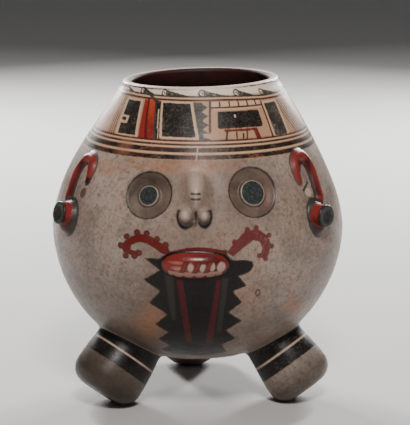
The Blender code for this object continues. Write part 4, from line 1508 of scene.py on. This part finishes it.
# %% Stage
FLOOR_REACH = 6.0  # to the front and to each side of the vase
BACKDROP_START = 4.4  # behind the vase, far enough to leave room for a camera there
BACKDROP_BEND = 0.6
BACKDROP_HEIGHT = 4.0
floor_mesh = bpy.data.meshes.new("floor")
sweep = [(-FLOOR_REACH, 0.0), (BACKDROP_START, 0.0)]
for angle in np.linspace(0, math.pi / 2, 12):
    along = BACKDROP_START + BACKDROP_BEND * math.sin(angle)
    sweep.append((along, BACKDROP_BEND * (1 - math.cos(angle))))
sweep.append((BACKDROP_START + BACKDROP_BEND, BACKDROP_HEIGHT))
floor_points = [(x, y, z) for x in (-FLOOR_REACH, FLOOR_REACH) for y, z in sweep]
n = len(sweep)
floor_mesh.from_pydata(floor_points, [], [(i, i + n, i + n + 1, i + 1) for i in range(n - 1)])
floor_mesh.shade_smooth()
floor = clay_object("floor", floor_mesh)
paper = bpy.data.materials.new("pale_paper")
paper.use_nodes = True
paper_inputs = paper.node_tree.nodes["Principled BSDF"].inputs
paper_inputs["Base Color"].default_value = (0.58, 0.57, 0.555, 1.0)
paper_inputs["Roughness"].default_value = 0.85
floor.data.materials.append(paper)

# %% Lights
world = bpy.data.worlds.new("studio")
bpy.context.scene.world = world
world.use_nodes = True
sky = world.node_tree.nodes["Background"].inputs
sky["Color"].default_value = (0.90, 0.93, 1.0, 1.0)
sky["Strength"].default_value = 0.09
LIGHT_AIM = (0, 0, 0.19)


def softbox(name, place, width, height, watts, color=(1.0, 1.0, 1.0)):
    data = bpy.data.lights.new(name, "AREA")
    data.shape = "RECTANGLE"
    data.size, data.size_y = width, height
    data.energy = watts
    data.color = color
    lamp = bpy.data.objects.new(name, data)
    bpy.context.scene.collection.objects.link(lamp)
    lamp.location = place
    lamp.rotation_euler = (Vector(LIGHT_AIM) - Vector(place)).to_track_quat("-Z", "Y").to_euler()


softbox("left_box", (-0.78, 1.60, 1.00), 0.22, 1.1, 58)
softbox("right_box", (0.80, 1.60, 0.95), 0.22, 1.0, 50)
softbox("front_box", (0.10, -1.45, 1.60), 0.4, 0.4, 35, (1.0, 0.96, 0.92))

# %% Camera
VIEW_DISTANCE = 1.65
FOCAL_PIXELS = 1926.0
PHOTO_HEIGHT = 425
SENSOR_MM = 36
CAMERA_RIGHT = 0.0064
CAMERA_HEIGHT = 0.50
CAMERA_DIP = 11.63
camera_data = bpy.data.cameras.new("camera")
camera_data.sensor_fit = "AUTO"
camera_data.sensor_width = SENSOR_MM
camera_data.lens = FOCAL_PIXELS / PHOTO_HEIGHT * SENSOR_MM
camera = bpy.data.objects.new("camera", camera_data)
bpy.context.scene.collection.objects.link(camera)
camera.location = (CAMERA_RIGHT, AXIS_BACK - VIEW_DISTANCE, CAMERA_HEIGHT)
camera.rotation_euler = (math.radians(90 - CAMERA_DIP), 0, 0)
bpy.context.scene.camera = camera
